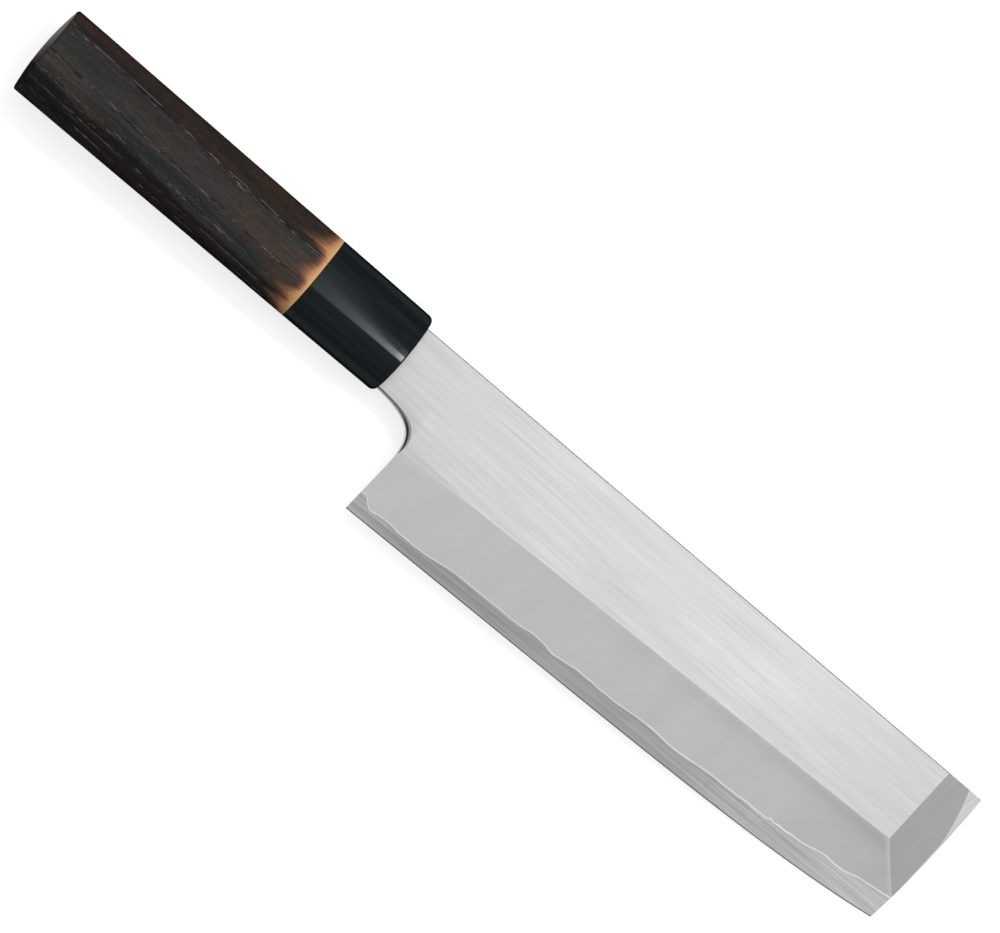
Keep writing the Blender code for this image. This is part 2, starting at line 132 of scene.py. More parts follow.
class Shading:
    """The nodes of one material, or of the world."""

    def __init__(self, owner: Material | bpy.types.World) -> None:
        """Clears the owner's nodes.

        Args:
            owner: The material or world that the nodes belong to.
        """
        owner.use_nodes = True
        self.tree = owner.node_tree
        self.tree.nodes.clear()

    def add(
        self,
        kind: str,
        *values: object,
        inputs: dict[str, object] | None = None,
        stops: Sequence[tuple[float, Colour | str]] = (),
        out: str = "",
        **settings: object,
    ) -> Socket | None:
        """Adds one node with its settings, values and links.

        Args:
            kind: The node's Blender type, without the words ShaderNode.
            values: Sockets to link and values to set, for the inputs in use in their order.
            inputs: The same by the names of the inputs. A colour may be a hex code.
            stops: Places and colours of a colour ramp, from low to high.
            out: The output that is wanted, if it isn't the first in use.
            settings: The node's own properties.

        Returns:
            The node's output, if it has one.
        """
        node = self.tree.nodes.new(f"ShaderNode{kind}")
        for name, value in settings.items():
            setattr(node, name, value)
        filled = list(zip((socket for socket in node.inputs if socket.enabled), values))
        filled += [(node.inputs[name], value) for name, value in (inputs or {}).items()]
        for socket, value in filled:
            if isinstance(value, Socket):
                self.tree.links.new(value, socket)
            else:
                socket.default_value = linear(value) if isinstance(value, str) else value
        for i, (place, colour) in enumerate(stops):
            element = node.color_ramp.elements[i] if i < 2 else node.color_ramp.elements.new(place)
            element.position = place
            element.color = linear(colour) if isinstance(colour, str) else colour
        return node.outputs[out] if out else next((o for o in node.outputs if o.enabled), None)

    @cached_property
    def place(self) -> Socket:
        """The surface's point in the knife's frame."""
        return self.add("TexCoord", out="Object")

    def axis(self, name: str) -> Socket:
        """Gives one coordinate of the surface's point."""
        return self.add("SeparateXYZ", self.place, out=name)

    def depth(self, direction: Point, start: float) -> Socket:
        """Gives how far the surface's point lies in a direction, counted from a start in metres."""
        dot = self.add("VectorMath", self.place, direction, operation="DOT_PRODUCT")
        return self.add("Math", dot, start, operation="SUBTRACT")

    def stretched(
        self, length: float, gap: float, detail: float, turn: float = 0.0, at: Socket | None = None
    ) -> Socket:
        """Draws noise that is stretched one way.

        Args:
            length: The pattern's length, in millimetres.
            gap: Its width, in millimetres.
            detail: How many finer layers it has.
            turn: The angle from X to its length, in radians.
            at: The point that it is drawn at, if it isn't the surface's own.

        Returns:
            The noise, about 0.5 on average.
        """
        mapping = {
            "Vector": self.place if at is None else at,
            "Rotation": (0, 0, turn),
            "Scale": (length * MM, gap * MM, gap * MM),
        }
        along = self.add("Mapping", inputs=mapping, vector_type="TEXTURE")
        return self.add("TexNoise", along, 1, detail)

    def ranged(self, noise: Socket, low: float, high: float) -> Socket:
        """Spreads noise from its usual range over another."""
        return self.add("MapRange", noise, *NOISE_RANGE, low, high)

    def ramped(self, value: Socket, rows: Rows) -> Socket:
        """Turns a length into a factor or a tint.

        Args:
            value: The length, in metres.
            rows: Lengths in rising order, in millimetres, each with its grey or its red, green and blue.

        Returns:
            The factor as a grey, or the tint.
        """
        low, high = rows[0][0], rows[-1][0]
        share = self.add("MapRange", value, low * MM, high * MM)
        stops = [((at - low) / (high - low), (*(tint * 3)[:3], 1.0)) for at, *tint in rows]
        return self.add("ValToRGB", share, stops=stops)

    def shaded(
        self, inputs: dict[str, object], relief: tuple[Socket, float, float] | None = None
    ) -> bpy.types.Node:
        """Adds the material's shader and output.

        Args:
            inputs: The shader's values and links by name.
            relief: A height from 0 to 1, its strength and its depth in millimetres, if there is any.

        Returns:
            The shader.
        """
        if relief:
            height, strength, depth = relief
            bump = {"Height": height, "Strength": strength, "Distance": depth * MM}
            inputs = inputs | {"Normal": self.add("Bump", inputs=bump)}
        surface = self.add("BsdfPrincipled", inputs=inputs)
        self.add("OutputMaterial", surface)
        return surface.node

    def dull_at_rims(self, shader: bpy.types.Node, painted_light: Socket | None = None) -> None:
        """Weakens a dark thing's gloss where it turns away, so that its rims don't mirror the white table.

        Args:
            shader: The shader, whose specular level holds where the surface faces the viewer.
            painted_light: How many times that level the surface has where a highlight is painted, if one is.
        """
        full = shader.inputs[SPECULAR].default_value
        if painted_light is not None:
            full = self.add("Math", painted_light, full, **TIMES)
        facing = self.add("LayerWeight", 0.5, out="Facing")
        weakened = self.add("MapRange", facing, *RIM_RANGE, full, 0.0)
        self.tree.links.new(weakened, shader.inputs[SPECULAR])


def new_material(name: str) -> tuple[Material, Shading]:
    """Makes an empty material and gives it with its nodes."""
    material = bpy.data.materials.new(name)
    return material, Shading(material)


# The knife's frame and mesh building


@dataclass(frozen=True)
class KnifeFrame:
    """Where the knife's own frame lies in the row frame."""

    pitch: float
    origin: Vector

    @classmethod
    def from_record(cls, record: dict, blade: LaminatedBlade) -> KnifeFrame:
        """Finds the frame from the blade's packed mount and box.

        Args:
            record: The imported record, whose back_rim mount lies on the blade's back.
            blade: The blade, whose outline is known in the knife's frame.

        Returns:
            The knife's frame.
        """
        mount = next(m for m in record["mounts"] if m["name"] == "back_rim")
        pitch = math.atan2(-mount["axis"][0], -mount["axis"][2])
        steel_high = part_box("blade_steel")[1]
        turn = Matrix.Rotation(pitch, 3, "Y")
        end = turn @ Vector((blade.tip_x, 0, blade.back_z + blade.tip_end_thickness))
        x = steel_high.x - end.x
        y = steel_high.y - blade.spine_offset
        level = (turn.transposed() @ (Vector(mount["pos_m"]) - Vector((x, y, 0)))).z
        z = (level - blade.back_z) / math.cos(pitch)
        return cls(pitch, Vector((x, y, z)))

    def matrix(self) -> Matrix:
        """Gives the transform from the knife's frame to the row frame."""
        return Matrix.Translation(self.origin) @ Matrix.Rotation(self.pitch, 4, "Y")

    def place(self, name: str, mesh: Mesh, slot: str, *nodes: str) -> None:
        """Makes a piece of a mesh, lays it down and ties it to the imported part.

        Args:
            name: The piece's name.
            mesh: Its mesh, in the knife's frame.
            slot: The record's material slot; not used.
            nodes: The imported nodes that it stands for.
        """
        piece = bpy.data.objects.new(name, mesh)
        bpy.context.scene.collection.objects.link(piece)
        piece.matrix_world = self.matrix()
        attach(piece, BODY)
        if nodes:
            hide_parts(*nodes)
        log.info("%s: %d faces", name, len(mesh.polygons))


def blend(start: float, end: float, share: float) -> float:
    """Gives the value at a share of the way from start to end."""
    return start + (end - start) * share


def spread(start: float, end: float, count: int) -> list[float]:
    """Gives evenly spaced places from start to end."""
    return [blend(start, end, i / (count - 1)) for i in range(count)]


def within(share: float) -> float:
    """Keeps a share between 0 and 1."""
    return min(max(share, 0), 1)


def ease(share: float) -> float:
    """Eases a share from 0 to 1 so that it starts and ends level."""
    return (1 - math.cos(math.pi * within(share))) / 2


def bezier(points: Sequence[Point], share: float) -> Vector:
    """Gives the point at a share of the way along a cubic curve.

    Args:
        points: The curve's four points.
        share: From 0 at its start to 1 at its end.

    Returns:
        The point.
    """
    rest = 1 - share
    weights = (rest**3, 3 * rest**2 * share, 3 * rest * share**2, share**3)
    return sum((weight * Vector(point) for weight, point in zip(weights, points)), Vector((0, 0, 0)))


def rounding(radius: float, steps: int, first: int = 0) -> list[Place]:
    """Draws a quarter circle that turns from the side of a thing to its front.

    Args:
        radius: The circle's radius.
        steps: How many steps it is drawn in.
        first: The first step that is wanted.

    Returns:
        How far each point is drawn in from the side, and back from the front.
    """
    turns = [QUARTER * i / steps for i in range(first, steps + 1)]
    return [(radius * (1 - math.cos(turn)), radius * (1 - math.sin(turn))) for turn in turns]


def loft(
    name: str,
    rings: Sequence[Sequence[Point]],
    materials: Sequence[Material],
    end_point: Point | None = None,
    zone: Callable[[int, int], int] = lambda row, side: 0,
) -> Mesh:
    """Makes a closed skin through rings of equally many points, with its faces turned outwards.

    Args:
        name: The mesh's name.
        rings: The rings, from the first cap to the last.
        materials: The skin's materials.
        end_point: A point that closes the last ring, in place of a flat cap.
        zone: Gives the material's number for a band between two rings and a side of the ring.

    Returns:
        The mesh.
    """
    bm = bmesh.new()
    rows = [[bm.verts.new(point) for point in ring] for ring in rings]
    sides = range(len(rows[0]))
    for r, (row, following) in enumerate(zip(rows, rows[1:])):
        for i in sides:
            j = (i + 1) % len(sides)
            bm.faces.new((row[i], row[j], following[j], following[i])).material_index = zone(r, i)
    bm.faces.new(rows[0])
    last = rows[-1]
    if end_point is None:
        bm.faces.new(last)
    else:
        apex = bm.verts.new(end_point)
        for i in sides:
            face = bm.faces.new((last[i], last[(i + 1) % len(sides)], apex))
            face.material_index = zone(len(rows) - 1, i)
    bmesh.ops.recalc_face_normals(bm, faces=bm.faces)
    mesh = bpy.data.meshes.new(name)
    bm.to_mesh(mesh)
    bm.free()
    for material in materials:
        mesh.materials.append(material)
    return mesh


def prism(name: str, outline: Sequence[Place], low: float, high: float, material: Material) -> Mesh:
    """Extrudes an outline in X and Y from one Z to another."""
    return loft(name, [[(x, y, z) for x, y in outline] for z in (low, high)], [material])


def crown(rim: Sequence[Point], level: float, dome: float, lift: float, rows: int) -> list[list[Point]]:
    """Draws the rings of a domed end, from its rim inwards.

    Args:
        rim: The end's outer ring.
        level: Where along X the end lies but for its dome.
        dome: How far its middle stands out along X.
        lift: Its middle's place along Y.
        rows: How many bands it has.

    Returns:
        The rings inside the rim.
    """
    rings = []
    for i in range(1, rows):
        rest = 1 - i / rows
        share = rest**2
        out = dome * (1 - share)
        rings.append([(blend(level, x, share) + out, lift + (y - lift) * rest, z * rest) for x, y, z in rim])
    return rings


def smooth(mesh: Mesh, crease: float) -> None:
    """Shades a mesh smoothly, but for edges sharper than the crease in degrees."""
    mesh.shade_smooth()
    mesh.set_sharp_from_angle(angle=math.radians(crease))


class Cut(Enum):
    """How one mesh shapes another."""

    AWAY = "DIFFERENCE"
    SHARED = "INTERSECT"
    JOINED = "UNION"


def carve(base: Mesh, cuts: Sequence[tuple[Cut, Mesh]], crease: float) -> Mesh:
    """Shapes a mesh with others, whose faces bring their own finish along.

    Args:
        base: The mesh to shape.
        cuts: The meshes that shape it, in order.
        crease: Edges sharper than this, in degrees, stay sharp in the smooth shading.

    Returns:
        The shaped mesh.
    """
    helpers = [bpy.data.objects.new("carving", base)]
    for operation, tool in cuts:
        helpers.append(bpy.data.objects.new("carving_tool", tool))
        modifier = helpers[0].modifiers.new("cut", "BOOLEAN")
        modifier.operation = operation.value
        modifier.object = helpers[-1]
        modifier.material_mode = "TRANSFER"
    for helper in helpers:
        bpy.context.scene.collection.objects.link(helper)
    graph = bpy.context.evaluated_depsgraph_get()
    shaped = bpy.data.meshes.new_from_object(helpers[0].evaluated_get(graph))
    shaped.name = base.name
    for helper in helpers:
        bpy.data.objects.remove(helper)
    smooth(shaped, crease)
    return shaped


# Finishes of the metal


@dataclass(frozen=True)
class GroundMetal:
    """Metal as a stone or belt leaves it: fine lines one way, and a faint cloudy mist."""

    name: str
    tone: str
    shade: str
    roughness: float
    line_gap: float = 0.4
    line_length: float = 45.0
    line_angle: float = 0.0
    line_share: float = 0.6
    mist_size: float = 9.0
    mist_stretch: float = 3.0
    contrast: float = 1.0
    relief: float = 0.002
    relief_strength: float = 0.6
    half_range: float = 0.28
    rough_range: Place = (0.25, 0.75)
    rough_spread: float = 0.05
    painted_light_along: Rows = ()

    def pattern(self, look: Shading) -> tuple[Socket, Socket, Socket]:
        """Draws the lines and the mist.

        Args:
            look: The material's nodes.

        Returns:
            The colour, the roughness and the height of the lines.
        """
        turn = math.radians(self.line_angle)
        lines = look.stretched(self.line_length, self.line_gap, 3, turn)
        mist = look.stretched(self.mist_size * self.mist_stretch, self.mist_size, 2, turn)
        both = look.add("Mix", self.line_share, mist, lines)
        low = 0.5 - self.half_range / self.contrast
        colour = look.add("ValToRGB", both, stops=((low, self.shade), (1 - low, self.tone)))
        smoothest, roughest = self.roughness - self.rough_spread, self.roughness + self.rough_spread
        rough = look.add("MapRange", lines, *self.rough_range, smoothest, roughest)
        # Painted light and shade: the tints along X lighten or darken the metal along the blade.
        if self.painted_light_along:
            colour = look.add("Mix", 1.0, colour, look.ramped(look.axis("X"), self.painted_light_along), **TINTED)
        return colour, rough, lines

    def wire(self, look: Shading, colour: Socket, rough: Socket, height: Socket) -> None:
        """Adds a metal's shader with the depth of this one's lines."""
        inputs = {"Base Color": colour, "Roughness": rough, "Metallic": 1.0}
        look.shaded(inputs, (height, self.relief_strength, self.relief))

    def build(self) -> Material:
        """Makes the material of this one finish.

        Returns:
            The material.
        """
        material, look = new_material(self.name)
        self.wire(look, *self.pattern(look))
        return material


@dataclass(frozen=True)
class TwoGroundFaces:
    """The iron's front, where the flat passes into the bevel: softly at the heel, then crisply."""

    flat: GroundMetal
    bevel: GroundMetal
    ridge: tuple[Place, Place]
    mitre: tuple[Place, Place]
    heel_softness: float = 2.6 * MM
    softness: float = 0.38 * MM
    soft_length: float = 17 * MM
    shade_start: float = 60 * MM
    shade_below_ridge: Rows = ((-7, 1.0), (-4, 0.94), (-1.8, 0.84), (-0.7, 0.88), (0, 1.0))
    ridge_highlight: Rows = ((-0.35, 0.0), (0, 0.5), (0.4, 0.0))
    mitre_highlight: Rows = ((-1.5, 0.0), (-0.6, 0.9), (0.8, 0.9), (1.7, 0.0))
    mitre_highlight_tone: str = "#B8B8B8"
    ridge_highlight_tone: str = "#CECECE"

    def beside(self, look: Shading, line: tuple[Place, Place]) -> Socket:
        """Finds how far the surface's point lies to the left of a line, seen from above.

        Args:
            look: The material's nodes.
            line: Two points of the line.

        Returns:
            The distance, below 0 on the right.
        """
        start, end = line
        run = (Vector(end) - Vector(start)).normalized()
        return look.depth((-run.y, run.x, 0), -run.y * start[0] + run.x * start[1])

    def build(self) -> Material:
        """Makes the material that mixes both finishes across the ridge.

        Returns:
            The material.
        """
        material, look = new_material("soft_iron_front")
        above = self.beside(look, self.ridge)
        along = look.axis("X")
        heel, tip = self.ridge[0][0], self.ridge[1][0]
        softness = look.add(
            "MapRange", along, heel, heel + self.soft_length, self.heel_softness, self.softness
        )
        share = look.add("MapRange", above, look.add("Math", softness, -1.0, **TIMES), softness, **SMOOTH)
        flat, bevel = self.flat.pattern(look), self.bevel.pattern(look)

        # Painted shade: a darker band just below the ridge, ever more so towards the tip.
        towards_tip = look.add("MapRange", along, self.shade_start, tip)
        painted_light = look.add("Mix", 1.0, bevel[0], look.ramped(above, self.shade_below_ridge), **TINTED)
        bevel_with_shade = look.add("Mix", towards_tip, bevel[0], painted_light, **COLOURS)
        both = look.add("Mix", share, bevel_with_shade, flat[0], **COLOURS)

        # Painted highlights: a pale line on the ridge and by the mitre, where the bevel's edges would catch
        # the light.
        below = look.add("MapRange", above, 0.0, -1 * MM)
        mitre_glint = look.ramped(self.beside(look, self.mitre), self.mitre_highlight)
        with_mitre_highlight = look.add("Mix", look.add("Math", mitre_glint, below, **TIMES), both, self.mitre_highlight_tone, **LIGHTER)
        colour = look.add("Mix", look.ramped(above, self.ridge_highlight), with_mitre_highlight, self.ridge_highlight_tone, **LIGHTER)
        rough, height = (look.add("Mix", share, bevel[i], flat[i]) for i in (1, 2))
        self.flat.wire(look, colour, rough, height)
        return material


# Soft iron, belt-ground lengthwise: a bright satin with long fine lines. The real lines lie under
# 0.1 mm apart and are drawn 0.36 mm apart, or they wouldn't show.
FLAT_IRON = GroundMetal(
    "belt_ground_iron",
    tone="#C8C8C8",
    shade="#B4B4B4",
    roughness=0.36,
    line_gap=0.36,
    line_length=24,
    line_angle=-0.6,
    line_share=0.55,
    mist_size=2.6,
    mist_stretch=16.0,
    contrast=1.15,
    # Painted light and shade along the blade: darker by the heel and towards the tip.
    painted_light_along=(
        (0, 0.84), (20, 0.87), (41, 0.89), (63, 0.925), (84, 0.90),
        (106, 0.935), (127, 0.955), (149, 0.915), (170, 0.885), (194, 0.875),
    ),
)

# Soft iron rubbed on a natural stone: an even, misty grey with hardly a line in it.
BEVEL_IRON = GroundMetal(
    "stoned_iron",
    tone="#C3C3C3",
    shade="#BABABA",
    roughness=0.42,
    line_gap=0.3,
    line_length=12,
    line_angle=78.0,
    line_share=0.2,
    mist_size=8,
    # Painted shade along the blade: darker towards the tip.
    painted_light_along=(
        (14, 1.0), (41, 0.97), (84, 0.945), (127, 0.934), (149, 0.916), (170, 0.845), (194, 0.81),
    ),
)

# The same stoned iron on the short bevel of the tip, rubbed across the blade; its darker tone is painted
# shade.
SHADED_TIP_IRON = GroundMetal(
    "cross_stoned_iron",
    tone="#999999",
    shade="#929292",
    roughness=0.40,
    line_gap=0.3,
    line_length=14,
    line_angle=82.0,
    line_share=0.4,
    mist_size=6,
)

# Hard carbon steel, stoned: it takes a finer polish than the iron, so it looks darker, with lines
# along the edge.
EDGE_STEEL = GroundMetal(
    "stoned_hard_steel",
    tone="#CFCFCF",
    shade="#A3A3A3",
    roughness=0.27,
    line_length=40,
    line_angle=1.2,
    mist_size=1.6,
    mist_stretch=14.0,
    contrast=1.2,
    # Painted light and shade along the blade: darkest in its middle, lightest at the tip.
    painted_light_along=(
        (14, 0.80), (41, 0.66), (63, 0.66), (84, 0.73), (106, 0.71),
        (127, 0.74), (149, 0.84), (170, 0.94), (184, 1.0),
    ),
)

# The same hard steel on the tip bevel, where the lines run across it and catch the light.
TIP_STEEL = GroundMetal(
    "cross_stoned_hard_steel",
    tone="#C2C2C2",
    shade="#B9B9B9",
    roughness=0.34,
    line_gap=0.3,
    line_length=14,
    line_angle=82.0,
)

# The forge weld, where carbon has left the steel: a thin pale seam between the two greys.
WELD_SEAM = GroundMetal(
    "forge_weld", tone="#E0E0E0", shade="#C4C4C4", roughness=0.4, line_gap=1.5, line_length=4, mist_size=3
)

# Spine and end faces, ground straight across on a coarse belt and eased: fine lines across them.
CROSS_GROUND = GroundMetal(
    "cross_ground_spine",
    tone="#A9AAAB",
    shade="#8B8C8D",
    roughness=0.33,
    line_gap=0.25,
    line_length=7,
    line_angle=90.0,
    line_share=0.8,
)

# Arrises of spine and cutting edge, eased by hand: narrow turned faces, whose darker grey is a painted dark
# reflection.
DARK_REFLECTION_ARRIS = GroundMetal(
    "eased_arris", tone="#6E6F70", shade="#5C5D5E", roughness=0.3, line_gap=0.3, line_length=9
)

# The flat rim of the back, lapped on a stone: the brightest and smoothest steel on the knife.
LAPPED_RIM = GroundMetal(
    "lapped_hard_steel",
    tone="#CDCECF",
    shade="#BFC0C2",
    roughness=0.2,
    line_gap=0.3,
    line_length=30,
    line_angle=0.5,
)

# The hollow of the back, as the round wheel leaves it: darker, with coarse lines across the blade.
WHEEL_GROUND_HOLLOW = GroundMetal(
    "wheel_ground_hollow",
    tone="#A4A6A8",
    shade="#86888A",
    roughness=0.34,
    line_gap=0.55,
    line_length=38,
    line_angle=90.0,
    line_share=0.85,
    relief=0.006,
)


@dataclass(frozen=True)
class PaintedNotchReflection:
    """The rounded edge of the notch, burnished, with painted reflections: black where it turns over in the
    corner, else grey.
    """

    corner: Place
    turned: Tones = (
        (0.0, "#E6E6E6"), (0.30, "#D0D0D0"), (0.50, "#909192"), (0.66, "#1E1F20"), (0.74, "#26282A"),
        (0.84, "#505254"), (0.91, "#8A8B8C"), (0.95, "#C4C4C4"), (0.975, "#8E8F90"), (0.995, "#C2C2C2"),
    )
    with_painted_light: Tones = (
        (0.0, "#BEBEBE"), (0.60, "#A2A2A2"), (0.86, "#8A8A8A"),
        (0.93, "#5A5B5C"), (0.975, "#BEBEBE"), (0.995, "#C6C6C6"),
    )
    near: float = 5.5 * MM
    far: float = 10.5 * MM
    roughness: float = 0.24

    def build(self) -> Material:
        """Makes the material, whose painted dark reflection fades away from the hollow corner.

        Returns:
            The material.
        """
        material, look = new_material("notch_painted_reflection")
        # Painted reflections: the tones follow how far the surface faces up.
        facing = look.add("SeparateXYZ", look.add("TexCoord", out="Normal"), out="Z")
        bands_and_shade = [look.add("ValToRGB", facing, stops=stops) for stops in (self.turned, self.with_painted_light)]
        away = look.add("VectorMath", look.place, (*self.corner, 0), operation="DISTANCE")
        faded = look.add("MapRange", away, self.near, self.far, **SMOOTH)
        colour = look.add("Mix", faded, *bands_and_shade, **COLOURS)
        look.shaded({"Base Color": colour, "Roughness": self.roughness, "Metallic": 1.0})
        return material


# Finishes of the grip


@dataclass(frozen=True)
class PolishedHorn:
    """Black horn, sanded and buffed: near black and faintly cool, with a soft deep gloss."""

    joint_x: float
    front_x: float = -1.0 * MM
    tones: Tones = ((0.38, "#0C1011"), (0.68, "#151C1F"))
    gloss_tint: str = "#F2FCFF"
    buffed: float = 0.05
    sanded: float = 0.38
    ior: float = 1.54
    reflection: float = 0.1
    highlight_gain: float = 1.5
    highlight_along: Rows = ((-7, 0.0), (-3.5, 0.15), (-0.8, 1.0))
    highlight_across: Rows = ((-2.4, 0.0), (-1.4, 0.8), (-0.5, 1.5), (0.6, 1.5), (2.2, 0.0))
    streak_gap: float = 1.6
    streak_length: float = 28.0

    def build(self) -> Material:
        """Makes the material.

        Returns:
            The material.
        """
        material, look = new_material("polished_black_horn")
        streaks = look.stretched(self.streak_length, self.streak_gap, 3)
        colour = look.add("ValToRGB", streaks, stops=self.tones)

        # The horn is sanded flush with the wood, so its gloss dulls towards the joint.
        x = look.axis("X")
        rough = look.add("MapRange", x, self.joint_x, self.front_x, self.sanded, self.buffed)
        inputs = {"Base Color": colour, "Roughness": rough, "IOR": self.ior, SPECULAR: self.reflection}
        shader = look.shaded(inputs | {"Specular Tint": self.gloss_tint})

        # Painted highlight: the gloss is raised in a spot on the ridge just behind the blade, so that it
        # shines brightest there.
        along, across = look.ramped(x, self.highlight_along), look.ramped(look.axis("Y"), self.highlight_across)
        spot = look.add("Math", along, across, **TIMES)
        look.dull_at_rims(shader, look.add("Math", spot, self.highlight_gain, 1.0, operation="MULTIPLY_ADD"))
        return material


@dataclass(frozen=True)
class Grain:
    """How the growth rings run through the handle, for its meshes and its finish alike."""

    slope: float = math.tan(math.radians(2.4))
    tilt: float = math.tan(math.radians(24.0))
    origin_x: float = -80 * MM
    face_height: float = 9.0 * MM
    ring_lines: tuple[float, ...] = (-17.0, -12.8, -9.2, -5.2, 0.0, 7.2, 12.2, 17.5)
    vessels: Rows = ((-1.0, 0.05), (-0.4, 0.5), (0.0, 1.0), (0.3, 0.0))

    def axis(self) -> Point:
        """Gives the direction across the rings, whose dot product with a point is its depth."""
        return self.slope, 1.0, self.tilt

    def shift(self) -> float:
        """Gives what is taken off that dot product, so that the ring lines count on the top face."""
        return self.slope * self.origin_x + self.tilt * self.face_height

    def crowding(self) -> list[Place]:
        """Gives how crowded the vessels are at each depth: most on a ring line, fewer just below it."""
        return [(line + off, crowd) for line in self.ring_lines[1:-1] for off, crowd in self.vessels]


@dataclass(frozen=True)
class CharredChestnut:
    """Chestnut, charred and brushed: dark, warm and fibrous, its open pores dusty and painted with highlights
    on their walls, tan where unburnt.
    """

    grain: Grain
    joint_x: float
    roughness: float = 0.5
    ior: float = 1.5
    reflection: float = 0.055
    fade_length: float = 12.0 * MM
    unburnt: float = 0.5 * MM
    ring_sway: float = 0.25 * MM
    band_drift: float = 1.0 * MM
    soot_fade: Place = (-4 * MM, -1 * MM)
    relief: Place = (0.5, 0.03)
    wall_offset: float = -0.20 * MM
    rare_level: float = 0.70
    crowded_level: float = 0.50
    dash_edge: float = 0.07
    char_tones: Tones = (
        (0.36, "#222425"), (0.45, "#292928"), (0.53, "#2F2B28"), (0.61, "#362B27"), (0.70, "#3E2F28"),
    )
    tan_tones: Tones = (
        (0.0, "#BE9869"), (0.16, "#B07E56"), (0.34, "#80573E"),
        (0.56, "#5C4131"), (0.80, "#443228"), (1.0, "#382B24"),
    )
    wall_highlight: str = "#9A8C85"
    soot: str = "#0B0A09"
    dust_glint: str = "#8E7E74"
    streak_share: float = 0.45
    wall_share: float = 0.5
    dust_glint_share: float = 0.34
    soot_range: Place = (0.85, 0.15)
    char_range: Place = (0.42, 1.25)

    # Lengths and widths of the patterns along the grain, and the ranges that some are spread over.
    patch: Place = (26, 4.0)
    streak: Place = (17, 0.8)
    swell: Place = (34, 6)
    sway: Place = (26, 9)
    dash: Place = (2.3, 0.16)
    bristle: Place = (10, 0.3)
    mottle: Place = (1.5, 0.42)
    mottle_range: Place = (0.76, 1.26)
    fibre: Place = (7, 0.22)
    fibre_range: Place = (0.80, 1.22)
    lick: Place = (14, 0.5)
    lick_range: Place = (0.72, 1.35)
    lit: Place = (9, 2.2)
    lit_range: Place = (-0.5, 1.5)

    # Tints of the char by its depth across the rings: partly ring bands, partly painted shade that darkens
    # both long sides, the edge side most.
    bands_and_shade: Rows = (
        (-16.0, 0.50, 0.50, 0.50), (-15.8, 0.42, 0.42, 0.42), (-14.5, 0.32, 0.33, 0.33),
        (-12.8, 0.18, 0.20, 0.21), (-11.8, 0.24, 0.24, 0.24), (-10.6, 0.40, 0.38, 0.37),
        (-9.6, 0.44, 0.43, 0.43), (-8.5, 0.36, 0.37, 0.38), (-7.6, 0.42, 0.42, 0.43),
        (-6.9, 0.58, 0.57, 0.57), (-6.2, 1.02, 0.98, 0.95), (-5.2, 1.07, 1.03, 1.01),
        (-3.8, 1.0, 1.0, 1.0), (2.5, 1.0, 1.0, 1.0), (6.2, 1.03, 1.0, 0.99),
        (7.0, 0.95, 0.92, 0.90), (7.7, 0.60, 0.57, 0.56), (8.4, 0.84, 0.66, 0.60),
        (9.4, 0.93, 0.70, 0.60), (10.5, 0.85, 0.70, 0.62), (12.0, 0.60, 0.55, 0.52),
        (15.5, 0.50, 0.48, 0.47), (16.0, 0.50, 0.48, 0.47),
    )

    # How far the bare wood's tongues reach into the char, and how dark they are, by the place across.
    reach: Rows = (
        (-13.5, 0.25), (-12.2, 0.32), (-11.4, 0.66), (-10.5, 0.85), (-9.6, 0.52), (-8.9, 0.42),
        (-8.0, 0.60), (-7.1, 0.84), (-6.2, 0.60), (-5.0, 0.28), (-3.7, 0.24), (-1.8, 0.30),
        (-0.6, 0.52), (0.4, 0.50), (2.2, 0.38), (4.0, 0.26), (6.6, 0.27), (7.4, 0.60),
        (8.4, 0.95), (9.2, 0.85), (10.1, 0.53), (11.2, 0.42), (12.2, 0.36), (13.5, 0.30),
    )
    # Painted shade on the tan, darker towards the edge side.
    lower_side_shade: Rows = ((-13.2, 0.42), (-12.2, 0.52), (-10.7, 0.68), (-8.9, 0.84), (-5.0, 0.93), (0, 1.0))

    # Tints by the place along the handle, and the depths where they hold.
    thinning: Rows = (
        (-128, 0.95, 1.02, 1.05), (-127, 0.95, 1.02, 1.05), (-104, 0.90, 0.98, 1.02),
        (-84, 0.90, 0.96, 0.99), (-66, 1.08, 1.07, 1.06), (-50, 0.98, 1.03, 1.03),
        (-42, 1.18, 1.18, 1.13), (-36, 1.50, 1.36, 1.24), (-30, 1.50, 1.36, 1.24),
    )
    thin_depths: Rows = ((-8.0, 0.1), (-6.0, 1.0), (7.0, 1.0), (8.4, 0.3))

    def noise(self, look: Shading, size: Place, detail: float, at: Socket | None = None) -> Socket:
        """Draws noise that is stretched along the grain, with its length and width in millimetres."""
        return look.stretched(*size, detail, -math.atan(self.grain.slope), at)

    def char(self, look: Shading, depth: Socket) -> Socket:
        """Colours the charred wood in bands, patches and fibres along the grain, with painted shade towards
        both long sides.

        Args:
            look: The material's nodes.
            depth: How deep the point lies across the rings.

        Returns:
            The colour.
        """
        patch, streak = self.noise(look, self.patch, 2), self.noise(look, self.streak, 3)
        tone = look.add("ValToRGB", look.add("Mix", self.streak_share, patch, streak), stops=self.char_tones)
        drifting = look.ranged(self.noise(look, self.swell, 1), -self.band_drift, self.band_drift)
        band_and_shade = look.ramped(look.add("Math", depth, drifting), self.bands_and_shade)
        mottle = look.ranged(self.noise(look, self.mottle, 4), *self.mottle_range)
        fibre = look.ranged(self.noise(look, self.fibre, 3), *self.fibre_range)
        grey = look.add("Math", mottle, fibre, **TIMES)

